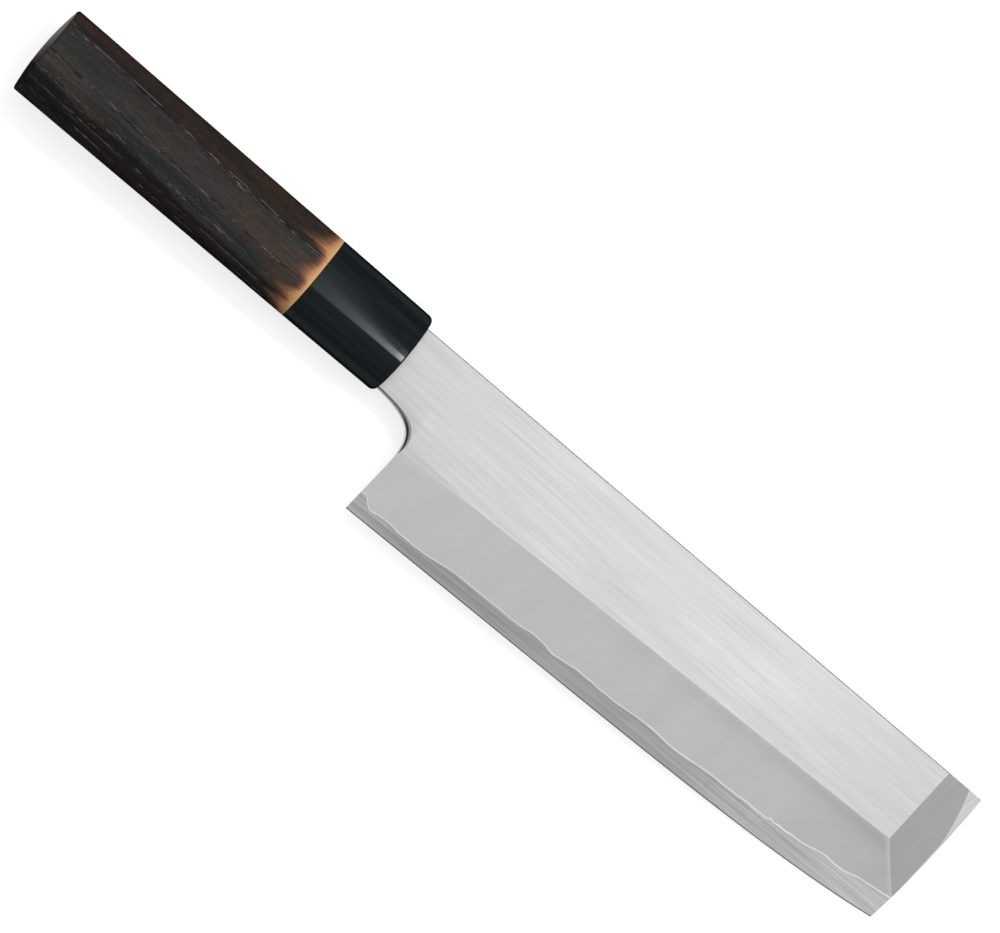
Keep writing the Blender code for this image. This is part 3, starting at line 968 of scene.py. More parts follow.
        # The flame was drawn away towards the ferrule, so the char thins and turns browner there.
        thinner = look.ramped(look.axis("X"), self.thinning)
        thin = look.add("Mix", look.ramped(depth, self.thin_depths), WHITE, thinner, **COLOURS)
        for factor in (band_and_shade, look.add("CombineColor", grey, grey, grey), thin):
            tone = look.add("Mix", 1.0, tone, factor, **TINTED)
        return tone

    def dashes(self, look: Shading, crowd: Socket, shift: float) -> Socket:
        """Draws the small vessels as short dashes, thick where early wood is cut.

        Args:
            look: The material's nodes.
            crowd: How crowded the vessels are, from 0 to 1.
            shift: How far the dashes are moved across the grain.

        Returns:
            How far each point lies in a dash, from 0 to 1.
        """
        moved = look.add("VectorMath", look.place, (0, shift, 0))
        low = look.add("MapRange", crowd, 0.0, 1.0, self.rare_level, self.crowded_level)
        high = look.add("Math", low, self.dash_edge)
        return look.add("MapRange", self.noise(look, self.dash, 2, moved), low, high)

    def scorched_and_shaded(self, look: Shading, char: Socket) -> Socket:
        """Fades the char in tongues towards the ferrule, which kept the flame off the wood, and paints shade
        on the tan towards the edge side.

        Args:
            look: The material's nodes.
            char: The colour of the charred wood.

        Returns:
            The colour.
        """
        y = look.axis("Y")
        start = self.joint_x - self.unburnt
        reach = look.add("MapRange", look.axis("X"), start, start - self.fade_length, clamp=False)
        lick = look.ranged(self.noise(look, self.lick, 3), *self.lick_range)
        length = look.add("Math", look.ramped(y, self.reach), lick, **TIMES)
        burnt = look.add("Math", reach, length, operation="DIVIDE")
        tan = look.add("ValToRGB", burnt, stops=self.tan_tones)
        charred = look.add("MapRange", burnt, *self.char_range, **SMOOTH)
        # Painted shade: the tan darkens towards the edge side of the handle.
        scorched_and_shaded = look.add("Mix", 1.0, tan, look.ramped(y, self.lower_side_shade), **TINTED)
        return look.add("Mix", charred, scorched_and_shaded, char, **COLOURS)

    def build(self) -> Material:
        """Makes the material.

        Returns:
            The material.
        """
        material, look = new_material("charred_brushed_chestnut")
        sway = look.ranged(self.noise(look, self.sway, 1), -self.ring_sway, self.ring_sway)
        depth = look.add("Math", look.depth(self.grain.axis(), self.grain.shift()), sway)
        wood = self.scorched_and_shaded(look, self.char(look, depth))

        # Small vessels: a sooty dash each, with a painted highlight on the wall beside it.
        crowd = look.ramped(depth, self.grain.crowding())
        dark, wall = (self.dashes(look, crowd, shift) for shift in (0.0, self.wall_offset))
        lit = look.ranged(self.noise(look, self.lit, 2), *self.lit_range)
        glint = look.add("Math", wall, lit, **TIMES)
        pale = look.add("Math", glint, self.wall_share, use_clamp=True, **TIMES)
        with_painted_light = look.add("Mix", pale, wood, self.wall_highlight, **COLOURS)

        # Large vessels, which the mesh is grooved for: soot in them, and dust along some walls, partly a
        # painted highlight.
        pore, dusty = (look.add("Attribute", attribute_name=name, out="Fac") for name in ("pore", "dusty"))
        faded, full = (self.joint_x + place for place in reversed(self.soot_fade))
        from_joint = look.add("MapRange", look.axis("X"), full, faded, *self.soot_range)
        soot = look.add("Math", look.add("Math", dark, pore, **LARGER), from_joint, **TIMES)
        sooty = look.add("Mix", soot, with_painted_light, self.soot, **COLOURS)
        dust_glint_amount = look.add("Math", dusty, self.dust_glint_share, **TIMES)
        colour = look.add("Mix", dust_glint_amount, sooty, self.dust_glint, **COLOURS)
        inputs = {"Base Color": colour, "Roughness": self.roughness, "IOR": self.ior}
        inputs[SPECULAR] = self.reflection
        look.dull_at_rims(look.shaded(inputs, (self.noise(look, self.bristle, 3), *self.relief)))
        return material


@dataclass(frozen=True)
class EndGrain:
    """The handle's butt, sanded across the grain and lightly charred: rings and specks of open pores."""

    grain: Grain
    tones: Tones = ((0.36, "#141211"), (0.52, "#221E1B"), (0.66, "#302924"))
    pore: str = "#0D0C0B"
    roughness: float = 0.4
    reflection: float = 0.075
    painted_light: Rows = ((-4.5, 0.0), (-2.0, 0.05), (1.0, 0.15), (4.0, 0.45), (8.0, 1.0))
    ring_gap: float = 2.6 * MM
    pore_size: float = 0.42 * MM
    pore_edge: Place = (0.1, 0.35)
    relief: Place = (0.4, 0.04)

    def build(self) -> Material:
        """Makes the material.

        Returns:
            The material.
        """
        material, look = new_material("end_grain_chestnut")
        depth = look.depth(self.grain.axis(), self.grain.shift())
        turns = look.add("Math", depth, 1 / self.ring_gap, **TIMES)
        rings = look.add("TexNoise", turns, 1, noise_dimensions="1D")
        cells = look.add("TexVoronoi", look.place, 1 / self.pore_size)
        specks = look.add("MapRange", cells, *self.pore_edge)
        wood = look.add("ValToRGB", rings, stops=self.tones)
        colour = look.add("Mix", specks, self.pore, wood, **COLOURS)
        inputs = {"Base Color": colour, "Roughness": self.roughness, SPECULAR: self.reflection}
        shader = look.shaded(inputs, (specks, *self.relief))

        # Painted sheen: the gloss rises towards the spine's side of the butt, so that a highlight shows
        # there.
        sheen = look.add("Math", look.ramped(look.axis("Y"), self.painted_light), self.reflection, **TIMES)
        look.tree.links.new(sheen, shader.inputs[SPECULAR])
        return material


@dataclass(frozen=True)
class TurnedMagnolia:
    """Magnolia turned on a lathe: pale, even and close-grained."""

    tones: Tones = ((0.35, "#B89A74"), (0.65, "#CDB08A"))
    roughness: float = 0.6
    relief: Place = (0.3, 0.03)
    fibre_gap: float = 0.5
    fibre_length: float = 20.0

    def build(self) -> Material:
        """Makes the material.

        Returns:
            The material.
        """
        material, look = new_material("turned_magnolia")
        fibres = look.stretched(self.fibre_length, self.fibre_gap, 3)
        colour = look.add("ValToRGB", fibres, stops=self.tones)
        look.shaded({"Base Color": colour, "Roughness": self.roughness}, (fibres, *self.relief))
        return material


# The blade


@dataclass
class LaminatedBlade:
    """Soft iron with hard steel welded to its back, ground on one side and hollow on the other."""

    neck_length: float = 14.0 * MM
    blade_length: float = 180.2 * MM
    spine_offset: float = 9.6 * MM
    heel_height: float = 50.6 * MM
    edge_rise: float = 3.8 * MM
    edge_sweep: float = 4.2 * MM
    edge_sweep_power: int = 6
    tip_lean: float = 2.3 * MM
    tip_lean_power: float = 2.3

    neck_height: float = 21.0 * MM
    neck_seat: float = 3.0 * MM
    notch_drop: float = 12.6 * MM
    notch_dip: float = 0.8 * MM
    notch_neck_pull: float = 0.87
    notch_heel_pull: float = 0.65
    notch_corner_in: float = 0.8 * MM
    notch_corner_share: float = 0.62
    heel_lean: float = 1.0 * MM
    neck_rounding: float = 1.3 * MM
    corner_rounding: float = 0.9 * MM
    heel_rounding: float = 0.16 * MM

    neck_thickness: float = 3.8 * MM
    tip_thickness: float = 2.8 * MM
    spine_chamfer: float = 0.35 * MM
    back_chamfer: float = 0.12 * MM
    edge_land: float = 0.03 * MM
    honed_width: float = 0.3 * MM
    bevel_height_heel: float = 21.4 * MM
    bevel_height_tip: float = 19.4 * MM
    ridge_softness_heel: float = 2.6 * MM
    ridge_softness_tip: float = 0.12 * MM
    tip_bevel_width: float = 11.4 * MM
    tip_bevel_lean: float = 0.9 * MM
    tip_end_thickness: float = 1.12 * MM

    steel_start: float = 7.0 * MM
    weld_seam: float = 0.056 * MM
    weld_rise_width: float = 16.5 * MM
    weld_rise: float = 0.66 * MM
    weld_rise_power: float = 1.4
    land_for_slope: float = 0.1 * MM
    mitre_drop: float = 11.4 * MM
    mitre_inset: float = 1.5 * MM

    # The weld line's height above the edge in millimetres, at shares of the blade's length.
    weld_line: Rows = (
        (0.0, 5.9), (0.007, 6.0), (0.031, 3.75), (0.052, 4.2), (0.088, 3.8), (0.122, 3.75),
        (0.193, 5.0), (0.29, 5.0), (0.34, 5.5), (0.38, 4.8), (0.43, 5.6), (0.47, 5.2),
        (0.555, 5.9), (0.60, 5.3), (0.67, 6.0), (0.773, 6.0), (0.7795, 6.5), (0.786, 6.05),
        (0.84, 6.35), (0.873, 7.05), (0.91, 6.5), (0.937, 7.2), (1.0, 7.2),
    )

    # The ripple on it: each wave's height and length in millimetres, and its phase.
    ripples: Rows = ((0.10, 1.9, 0.0), (0.07, 0.83, 1.0))
    ripple_swell: float = 11 * MM

    hollow_depth: float = 0.4 * MM
    hollow_spine_rim: float = 2.5 * MM
    hollow_edge_rim: float = 2.2 * MM
    hollow_heel_rim: float = 3.0 * MM
    hollow_tip_rim: float = 3.0 * MM
    hollow_end_power: int = 5
    hollow_overshoot: float = 1.1

    tang_length: float = 88.0 * MM
    tang_height: float = 11.5 * MM
    tang_end_height: float = 6.0 * MM
    tang_thickness: float = 3.2 * MM
    tang_end_thickness: float = 2.0 * MM

    bar_stations: int = 140
    weld_stations: int = 420
    rise_steps: int = 8
    ridge_steps: int = 6
    notch_steps: int = 30
    tip_end_steps: int = 14
    rounding_steps: int = 10
    chamfer_steps: int = 3
    bevel_steps: int = 4
    hollow_stations: int = 48
    hollow_arc_steps: int = 20
    reach: float = 4.0 * MM
    crease: float = 8.0
    finishes: dict[str, Material] = field(default_factory=dict)

    @property
    def tip_x(self) -> float:
        """The place of the tip."""
        return self.neck_length + self.blade_length

    @property
    def back_z(self) -> float:
        """The level of the back."""
        return -self.neck_thickness / 2

    @property
    def neck_underside(self) -> float:
        """The lower side of the neck."""
        return self.spine_offset - self.neck_height

    @property
    def heel_y(self) -> float:
        """The heel's lowest point."""
        return self.spine_offset - self.heel_height

    @property
    def notch_corner(self) -> Place:
        """The deepest part of the notch."""
        drop = self.notch_corner_share * self.notch_drop
        return self.neck_length - self.notch_corner_in, self.neck_underside - drop

    def along(self, x: float) -> float:
        """Gives how far along the blade x lies, 0 at the heel and 1 at the tip."""
        return (x - self.neck_length) / self.blade_length

    def edge_y(self, x: float) -> float:
        """Gives the cutting edge at x."""
        share = self.along(x)
        return self.heel_y + self.edge_rise * share + self.edge_sweep * max(share, 0) ** self.edge_sweep_power

    def ridge_y(self, x: float) -> float:
        """Gives the line between the flat and the main bevel at x."""
        tip_edge = self.heel_y + self.edge_rise + self.edge_sweep
        return blend(self.heel_y + self.bevel_height_heel, tip_edge + self.bevel_height_tip, self.along(x))

    def thickness(self, x: float) -> float:
        """Gives the blade's thickness at the flat at x."""
        return blend(self.neck_thickness, self.tip_thickness, x / self.tip_x)

    def tip_end_x(self, y: float) -> float:
        """Gives the end of the blade at y.

        Args:
            y: The place across the blade.

        Returns:
            The end's place along X.
        """
        tip_height = self.heel_height - self.edge_rise - self.edge_sweep
        share = max(self.spine_offset - y, 0) / tip_height
        return self.tip_x - self.tip_lean * share**self.tip_lean_power

    def weld_height(self, x: float) -> float:
        """Gives the weld line's height above the edge at x, with the small ripple that forging leaves.

        Args:
            x: The place along the blade.

        Returns:
            The height.
        """
        share = within(self.along(x))
        ripple = sum(high * MM * math.sin(x / (long * MM) + phase) for high, long, phase in self.ripples)
        ripple *= 0.5 + 0.5 * math.sin(x / self.ripple_swell)
        for (start, low), (end, high) in zip(self.weld_line, self.weld_line[1:]):
            if share <= end:
                return blend(low * MM, high * MM, ease((share - start) / (end - start))) + ripple
        return self.weld_line[-1][1] * MM

    def bevel_slope(self, x: float) -> float:
        """Gives the main bevel's rise for each metre across it at x."""
        return (self.thickness(x) - self.land_for_slope) / (self.ridge_y(x) - self.edge_y(x))

    def section(self, x: float) -> list[tuple[float, float, str]]:
        """Draws the bar's section at x, anticlockwise from the back corner of the spine.

        Args:
            x: The place along the bar.

        Returns:
            Y and Z of each point, and the finish of the side that follows it.
        """
        front = self.back_z + self.thickness(x)
        edge, ridge, slope = self.edge_y(x), self.ridge_y(x), self.bevel_slope(x)
        soft = blend(self.ridge_softness_heel, self.ridge_softness_tip, ease(within(self.along(x)) * 6))
        points = [
            (self.spine_offset - self.back_chamfer, self.back_z, "spine"),
            (self.spine_offset, self.back_z + self.back_chamfer, "spine"),
        ]
        for inset, drop in rounding(self.spine_chamfer, self.chamfer_steps):
            points.append((self.spine_offset - inset, front - drop, "arris"))
        points[-1] = (*points[-1][:2], "front")
        points.append(((self.spine_offset + ridge) / 2, front, "front"))
        lower = (ridge - soft, front - slope * soft)
        for i in range(self.ridge_steps + 1):
            t = i / self.ridge_steps
            rest = 1 - t
            y = rest**2 * (ridge + soft) + 2 * rest * t * ridge + t**2 * lower[0]
            z = rest**2 * front + 2 * rest * t * front + t**2 * lower[1]
            points.append((y, z, "front"))
        for y in spread(ridge - soft, edge + self.honed_width, self.bevel_steps + 1)[1:]:
            points.append((y, front - slope * (ridge - y), "front"))
        points[-1] = (*points[-1][:2], "honed")
        points.append((edge, self.back_z + self.edge_land, "honed"))
        points.append((edge, self.back_z, "back"))
        return points

    def bar(self, name: str, zones: dict[str, str]) -> Mesh:
        """Forges the bar that both metals are cut from.

        Args:
            name: The mesh's name.
            zones: The finish of each part of the section.

        Returns:
            The mesh, longer than the blade.
        """
        order = sorted(set(zones.values()))
        rings = []
        for x in spread(-self.neck_seat, self.tip_x + self.reach, self.bar_stations):
            rings.append([(x, y, z) for y, z, _ in self.section(x)])
        sides = [order.index(zones[zone]) for _, _, zone in self.section(0)]
        return loft(name, rings, [self.finishes[key] for key in order], zone=lambda row, side: sides[side])

    def notch_curve(self) -> list[Vector]:
        """Draws the line from the neck's underside round the hollow corner and down the heel.

        Returns:
            The line's points.
        """
        wide_x = self.neck_length + self.heel_lean
        corner_y = self.neck_underside - self.notch_drop
        points = (
            (0, self.neck_underside, 0),
            (wide_x * self.notch_neck_pull, self.neck_underside - self.notch_dip, 0),
            (wide_x, corner_y + self.notch_drop * self.notch_heel_pull, 0),
            (wide_x, corner_y, 0),
        )
        return [bezier(points, i / self.notch_steps) for i in range(self.notch_steps + 1)]

    def notch_cutter(self) -> Mesh:
        """Makes the space below the neck and behind the heel.

        Returns:
            The mesh.
        """
        behind = -self.neck_seat - self.reach
        below = self.heel_y - self.reach
        curve = [(point.x, point.y) for point in self.notch_curve()]
        turn_x, turn_y = curve[-1]
        slope = self.heel_lean / (turn_y - self.heel_y)
        outline = [(behind, self.neck_underside), *curve]
        outline += [(turn_x - slope * (turn_y - below), below), (behind, below)]
        deep = self.neck_thickness
        return prism("notch_cutter", outline, -deep, deep, self.finishes["spine"])

    def notch_rounding(self) -> Mesh:
        """Makes the space outside the rounded edge of the notch, which is widest in the corner.

        Returns:
            The mesh.
        """
        curve = [Vector((-self.neck_seat, self.neck_underside, 0)), *self.notch_curve()]
        slope = self.heel_lean / (curve[-1].y - self.heel_y)
        curve.append(curve[-1] + Vector((-slope, -1, 0)) * (curve[-1].y - self.heel_y + self.reach))
        rings = []
        for i, point in enumerate(curve):
            before, after = curve[max(i - 1, 0)], curve[min(i + 1, len(curve) - 1)]
            run = (after - before).normalized()
            inward = Vector((-run.y, run.x, 0))
            share = min(max(i - 1, 0) / self.notch_steps, 1)
            width = blend(self.neck_rounding, self.heel_rounding, share**3)
            width += self.corner_rounding * math.sin(math.pi * share) ** 2
            front = self.back_z + self.thickness(point.x)
            clear = front + self.reach / 4
            steps = [(inset, front - drop) for inset, drop in rounding(width, self.rounding_steps)]
            steps += [(width, clear), (-self.reach / 4, clear), (-self.reach / 4, front - width)]
            spots = [(point + inward * inset, z) for inset, z in steps]
            rings.append([(spot.x, spot.y, z) for spot, z in spots])
        return loft("notch_rounding", rings, [self.finishes["notch"]])

    def tip_end_cutter(self) -> Mesh:
        """Makes the space beyond the end of the blade.

        Returns:
            The mesh.
        """
        beyond = self.tip_x + 2 * self.reach
        top, bottom = self.spine_offset + self.reach, self.heel_y
        end = [(self.tip_end_x(y), y) for y in spread(top, bottom, self.tip_end_steps)]
        outline = [*end, (beyond, bottom), (beyond, top)]
        deep = self.neck_thickness
        return prism("tip_end_cutter", outline, -deep, deep, self.finishes["spine"])

    def tip_bevel_cutter(self, finish: str) -> Mesh:
        """Makes the space over the bevel that thins the square tip.

        Args:
            finish: The finish that the bevel gets.

        Returns:
            The cutter's mesh.
        """
        start_x = self.tip_x - self.tip_bevel_width
        spine = Vector((start_x, self.spine_offset, self.back_z + self.thickness(start_x)))
        corner_x = start_x - self.tip_bevel_lean
        corner = Vector((corner_x, self.ridge_y(start_x), self.back_z + self.thickness(corner_x)))
        end = Vector((self.tip_x, self.spine_offset, self.back_z + self.tip_end_thickness))
        across, down = (corner - spine).normalized(), (end - spine).normalized()
        margin = self.reach
        near, far = -margin, self.tip_bevel_width + 2 * margin
        left, right = -self.heel_height, 2 * self.heel_height
        corners = ((left, near), (right, near), (right, far), (left, far))
        floor = [spine + across * i + down * j for i, j in corners]
        lift = Vector((0, 0, self.neck_thickness + margin))
        rings = [[tuple(p) for p in floor], [tuple(p + lift) for p in floor]]
        return loft("tip_bevel_cutter", rings, [self.finishes[finish]])

    def steel_space(self, grow: float) -> Mesh:
        """Makes the space on the back that the hard steel takes up.

        Args:
            grow: How far its upper side is raised.

        Returns:
            The mesh.
        """
        top, bottom = self.spine_offset + self.reach, self.heel_y - self.reach
        below = self.back_z - self.reach
        rise = []
        for share in spread(1, 0, self.rise_steps):
            y = self.spine_offset - self.weld_rise_width * (1 - share)
            rise.append((y, self.weld_rise * share**self.weld_rise_power))
        rings = []
        for x in spread(self.steel_start - grow, self.tip_x + 2 * self.reach, self.weld_stations):
            height = self.bevel_slope(x) * self.weld_height(x)
            level = self.back_z + self.land_for_slope + height + grow
            section = [(top, below), (top, level + self.weld_rise)]
            section += [(y, level + lift) for y, lift in rise]
            section += [(bottom, level), (bottom, below)]
            rings.append([(x, y, z) for y, z in section])
        return loft("steel_space", rings, [self.finishes["weld"]])

    def hollow_cutter(self) -> Mesh:
        """Makes the space of the shallow hollow in the back, lifted out at both ends.

        Returns:
            The mesh.
        """
        start = self.neck_length + self.heel_lean + self.hollow_heel_rim
        end = self.tip_x - self.tip_lean - self.hollow_tip_rim
        middle, half_length = (start + end) / 2, (end - start) / 2
        under = self.back_z - self.reach
        rings = []
        for i in range(self.hollow_stations):
            offset = -math.cos(math.pi * (i + 0.5) / self.hollow_stations)
            x = middle + half_length * offset
            top = self.spine_offset - self.hollow_spine_rim
            bottom = self.edge_y(x) + self.hollow_edge_rim
            full_half, centre = (top - bottom) / 2, (top + bottom) / 2
            narrowing = (1 - abs(offset) ** self.hollow_end_power) ** (1 / self.hollow_end_power)
            depth = self.hollow_depth * narrowing**2
            overshoot = self.hollow_overshoot * full_half * narrowing
            ring = [(x, centre - overshoot, under)]
            for y in spread(-overshoot, overshoot, self.hollow_arc_steps):
                sunk = depth - self.hollow_depth * (y / full_half) ** 2
                ring.append((x, centre + y, self.back_z + sunk))
            rings.append([*ring, (x, centre + overshoot, under)])
        return loft("hollow_cutter", rings, [self.finishes["hollow"]])

    def tang(self) -> Mesh:
        """Makes the tapered tang that the grip hides.

        Returns:
            The mesh.
        """
        rings = []
        for x in (self.neck_seat / 2, -self.tang_length):
            share = -x / self.tang_length
            half_height = blend(self.tang_height, self.tang_end_height, share) / 2
            half_thickness = blend(self.tang_thickness, self.tang_end_thickness, share) / 2
            corners = ((-1, -1), (1, -1), (1, 1), (-1, 1))
            rings.append([(x, i * half_height, j * half_thickness) for i, j in corners])
        return loft("tang", rings, [self.finishes["spine"]])

    def prepare_finishes(self) -> None:
        """Makes the materials of the blade's faces."""
        ridge = tuple((x, self.ridge_y(x)) for x in (self.neck_length, self.tip_x))
        mitre_x = self.tip_x - self.tip_bevel_width - self.tip_bevel_lean
        corner = (mitre_x, self.ridge_y(mitre_x))
        mitre = (corner, (self.tip_x - self.mitre_inset, corner[1] - self.mitre_drop))
        kinds = {
            "front": TwoGroundFaces(FLAT_IRON, BEVEL_IRON, ridge, mitre),
            "tip_iron": SHADED_TIP_IRON,
            "edge": EDGE_STEEL,
            "tip_steel": TIP_STEEL,
            "weld": WELD_SEAM,
            "spine": CROSS_GROUND,
            "arris": DARK_REFLECTION_ARRIS,
            "notch": PaintedNotchReflection(self.notch_corner),
            "rim": LAPPED_RIM,
            "hollow": WHEEL_GROUND_HOLLOW,
        }
        self.finishes = {name: kind.build() for name, kind in kinds.items()}

    def layer(
        self,
        name: str,
        zones: dict[str, str],
        tip: str,
        first: Sequence[tuple[Cut, Mesh]],
        last: Sequence[tuple[Cut, Mesh]],
    ) -> Mesh:
        """Cuts one layer of the blade from its bar.

        Args:
            name: The layer's name.
            zones: The finish of each part of the bar's section.
            tip: The finish of the tip's bevel.
            first: The cuts that part it from the other layers.
            last: Its own cuts after the common ones.

        Returns:
            The mesh.
        """
        tools = [self.notch_cutter(), self.tip_end_cutter()]
        tools += [self.tip_bevel_cutter(tip), self.notch_rounding()]
        cuts = [*first, *((Cut.AWAY, tool) for tool in tools), *last]
        return carve(self.bar(name, zones), cuts, self.crease)

    def build(self, frame: KnifeFrame) -> None:
        """Builds the iron, the weld seam and the steel.

        Args:
            frame: Where the knife lies.
        """
        self.prepare_finishes()
        half = self.weld_seam / 2
        zones = dict(spine="spine", arris="arris", front="front", honed="front", back="spine")
        iron_only = [(Cut.AWAY, self.steel_space(half)), (Cut.JOINED, self.tang())]
        iron = self.layer("blade_body", zones, "tip_iron", [], iron_only)
        frame.place("blade_body", iron, "soft_iron", "blade_iron")

        between = [(Cut.SHARED, self.steel_space(half)), (Cut.AWAY, self.steel_space(-half))]
        seam = self.layer("weld_seam", dict.fromkeys(zones, "weld"), "tip_steel", between, [])
        frame.place("weld_seam", seam, "soft_iron")

        zones |= dict(front="edge", honed="arris", back="rim")
        below, hollow = [(Cut.SHARED, self.steel_space(-half))], [(Cut.AWAY, self.hollow_cutter())]
        steel = self.layer("edge_layer", zones, "tip_steel", below, hollow)
        frame.place("edge_layer", steel, "hard_steel", "blade_steel")


# The grip


@dataclass
class ChestnutSection:
    """The grip's section: an oval underside, and two curves that meet in a soft ridge on top."""

    ridge_offset: float = 2.1 * MM
    ridge_angle: float = math.radians(12)
    fine_steps: int = 400

    def outline(
        self, height: float, thickness: float, inset: float, count: int, flatness: float = BEZIER_CIRCLE
    ) -> Numbers:
        """Draws the section with evenly spaced points, from the ridge round by the edge side.

        Args:
            height: The section's full size along Y.
            thickness: Its full size along Z.
            inset: How far the outline is drawn in.
            count: How many points it has.
            flatness: How far the two upper sides run on straight from the ridge.

        Returns:
            Y and Z of each point.
        """
        a, b = height / 2 - inset, thickness / 2 - inset
        ridge = -self.ridge_offset * a / (height / 2)
        down = math.tan(self.ridge_angle)
        right, left = flatness * (a - ridge), flatness * (a + ridge)
        k = BEZIER_CIRCLE
        quarters = (
            ((ridge, b), (ridge - left, b - left * down), (-a, k * b), (-a, 0)),
            ((-a, 0), (-a, -k * b), (-k * a, -b), (0, -b)),
            ((0, -b), (k * a, -b), (a, -k * b), (a, 0)),
            ((a, 0), (a, k * b), (ridge + right, b - right * down), (ridge, b)),
        )
        t = np.linspace(0, 1, self.fine_steps, endpoint=False)[:, None]
        runs = []
        for quarter in quarters:
            p0, p1, p2, p3 = (np.array(point) for point in quarter)
            runs.append((1 - t) ** 3 * p0 + 3 * (1 - t) ** 2 * t * p1 + 3 * (1 - t) * t**2 * p2 + t**3 * p3)
        fine = np.vstack([*runs, runs[0][:1]])
        lengths = np.concatenate([[0], np.cumsum(np.linalg.norm(np.diff(fine, axis=0), axis=1))])
        places = np.linspace(0, lengths[-1], count, endpoint=False)
        return np.column_stack([np.interp(places, lengths, fine[:, axis]) for axis in (0, 1)])


@dataclass
class Ferrule:
    """The collar of black horn between blade and wood."""

    section: ChestnutSection
    length: float = 32.12 * MM
    front_height: float = 25.2 * MM
    joint_height: float = 25.8 * MM
    front_thickness: float = 20.6 * MM
    joint_thickness: float = 21.2 * MM
    joint_lift: float = 0.40 * MM * 32.1 / 127.1
    front_x: float = -0.33 * MM
    front_rounding: float = 0.8 * MM
    ridge_rounding: float = 0.55 * MM
    side_rounding: float = 2.0 * MM
    side_tuck: float = 1.0 * MM
    front_bow: float = 0.38 * MM
    front_dome: float = 0.35 * MM
    joint_easing: float = 0.12 * MM
    front_flatness: float = 0.48
    neck_gap: float = 0.06 * MM
    bore_diameter: float = 15.6 * MM
    bore_depth: float = 21.3 * MM
    overshoot: float = 1.0 * MM
    points_round: int = 220
    body_rows: int = 14
    rounding_rows: int = 10
    crown_rows: int = 8
    bore_sides: int = 64
    crease: float = 35.0

    def ring(self, x: float, inset: float) -> list[Point]:
        """Draws one ring of the ferrule.

        Args:
            x: The ring's place.
            inset: How far it is drawn in.

        Returns:
            The ring's points.
        """
        share = (self.front_x - x) / self.length
        height = blend(self.front_height, self.joint_height, share)
        thickness = blend(self.front_thickness, self.joint_thickness, share)
        flatness = blend(self.front_flatness, BEZIER_CIRCLE, share)
        outline = self.section.outline(height, thickness, inset, self.points_round, flatness)
        return [(x, y + self.joint_lift * share, z) for y, z in outline]

    def front_ring(self, turn: float) -> list[Point]:
        """Draws one ring of the front edge, which is rounder at the sides than on the ridge.

        Args:
            turn: How far the edge has turned, up to a quarter circle.

        Returns:
            The ring's points.
        """
        points = []
        for _, y, z in self.ring(self.front_x, self.front_rounding * (1 - math.cos(turn))):
            side = (2 * y / self.front_height) ** 2
            radius = blend(self.ridge_rounding, self.side_rounding, side**2)
            back = radius * (1 - math.sin(turn)) + self.front_bow * side * math.sin(turn)
            tuck = math.copysign(self.side_tuck * (1 - math.cos(turn)) * side**2, y)
            points.append((self.front_x - back, y - tuck, z))
        return points

    def body(self, horn: Material) -> Mesh:
        """Makes the ferrule without its seats.

        Args:
            horn: The ferrule's finish.

        Returns:
            The mesh.
        """
        joint, front = self.front_x - self.length, self.front_x
        rings = [self.ring(joint, self.joint_easing), self.ring(joint + self.joint_easing, 0)]
        for x in spread(joint + self.overshoot, front - 2 * self.side_rounding, self.body_rows):
            rings.append(self.ring(x, 0))
        rings += [self.front_ring(QUARTER * i / self.rounding_rows) for i in range(self.rounding_rows + 1)]
        rings += crown(rings[-1], front, self.front_dome, 0, self.crown_rows)
        return loft("ferrule_horn", rings, [horn], end_point=(front + self.front_dome, 0, 0))

    def seats(self, blade: LaminatedBlade, horn: Material) -> list[Mesh]:
        """Makes the dowel's bore and the recess that the blade's neck and tang pass through.

        Args:
            blade: The blade that sits in it.
            horn: The ferrule's finish.

        Returns:
            The cutters' meshes.
        """
        joint, radius = self.front_x - self.length, self.bore_diameter / 2
        turns = [2 * math.pi * i / self.bore_sides for i in range(self.bore_sides)]
        circle = [(radius * math.cos(turn), radius * math.sin(turn)) for turn in turns]
        ends = (joint - self.overshoot, joint + self.bore_depth)
        bore = loft("dowel_bore", [[(x, y, z) for y, z in circle] for x in ends], [horn])
        gap, front = self.neck_gap, self.front_x + 2 * self.overshoot
        back = -blade.neck_seat - gap
        low, high = blade.neck_underside - gap, blade.spine_offset + gap
        half = blade.neck_thickness / 2 + gap
        outline = [(back, low), (front, low), (front, high), (back, high)]
        neck = prism("neck_seat", outline, -half, half, horn)
        slot_y, slot_z = blade.tang_height / 2 + gap, blade.tang_thickness / 2 + gap
        slot = [(-self.length, -slot_y), (0, -slot_y), (0, slot_y), (-self.length, slot_y)]
        return [bore, neck, prism("tang_slot", slot, -slot_z, slot_z, horn)]

    def build(self, frame: KnifeFrame, blade: LaminatedBlade) -> None:
        """Builds the ferrule.

        Args:
            frame: Where the knife lies.
            blade: The blade whose neck it holds.
        """
        horn = PolishedHorn(self.front_x - self.length).build()
        mesh = carve(self.body(horn), [(Cut.AWAY, tool) for tool in self.seats(blade, horn)], self.crease)
        frame.place("ferrule_horn", mesh, "black_horn", "ferrule")


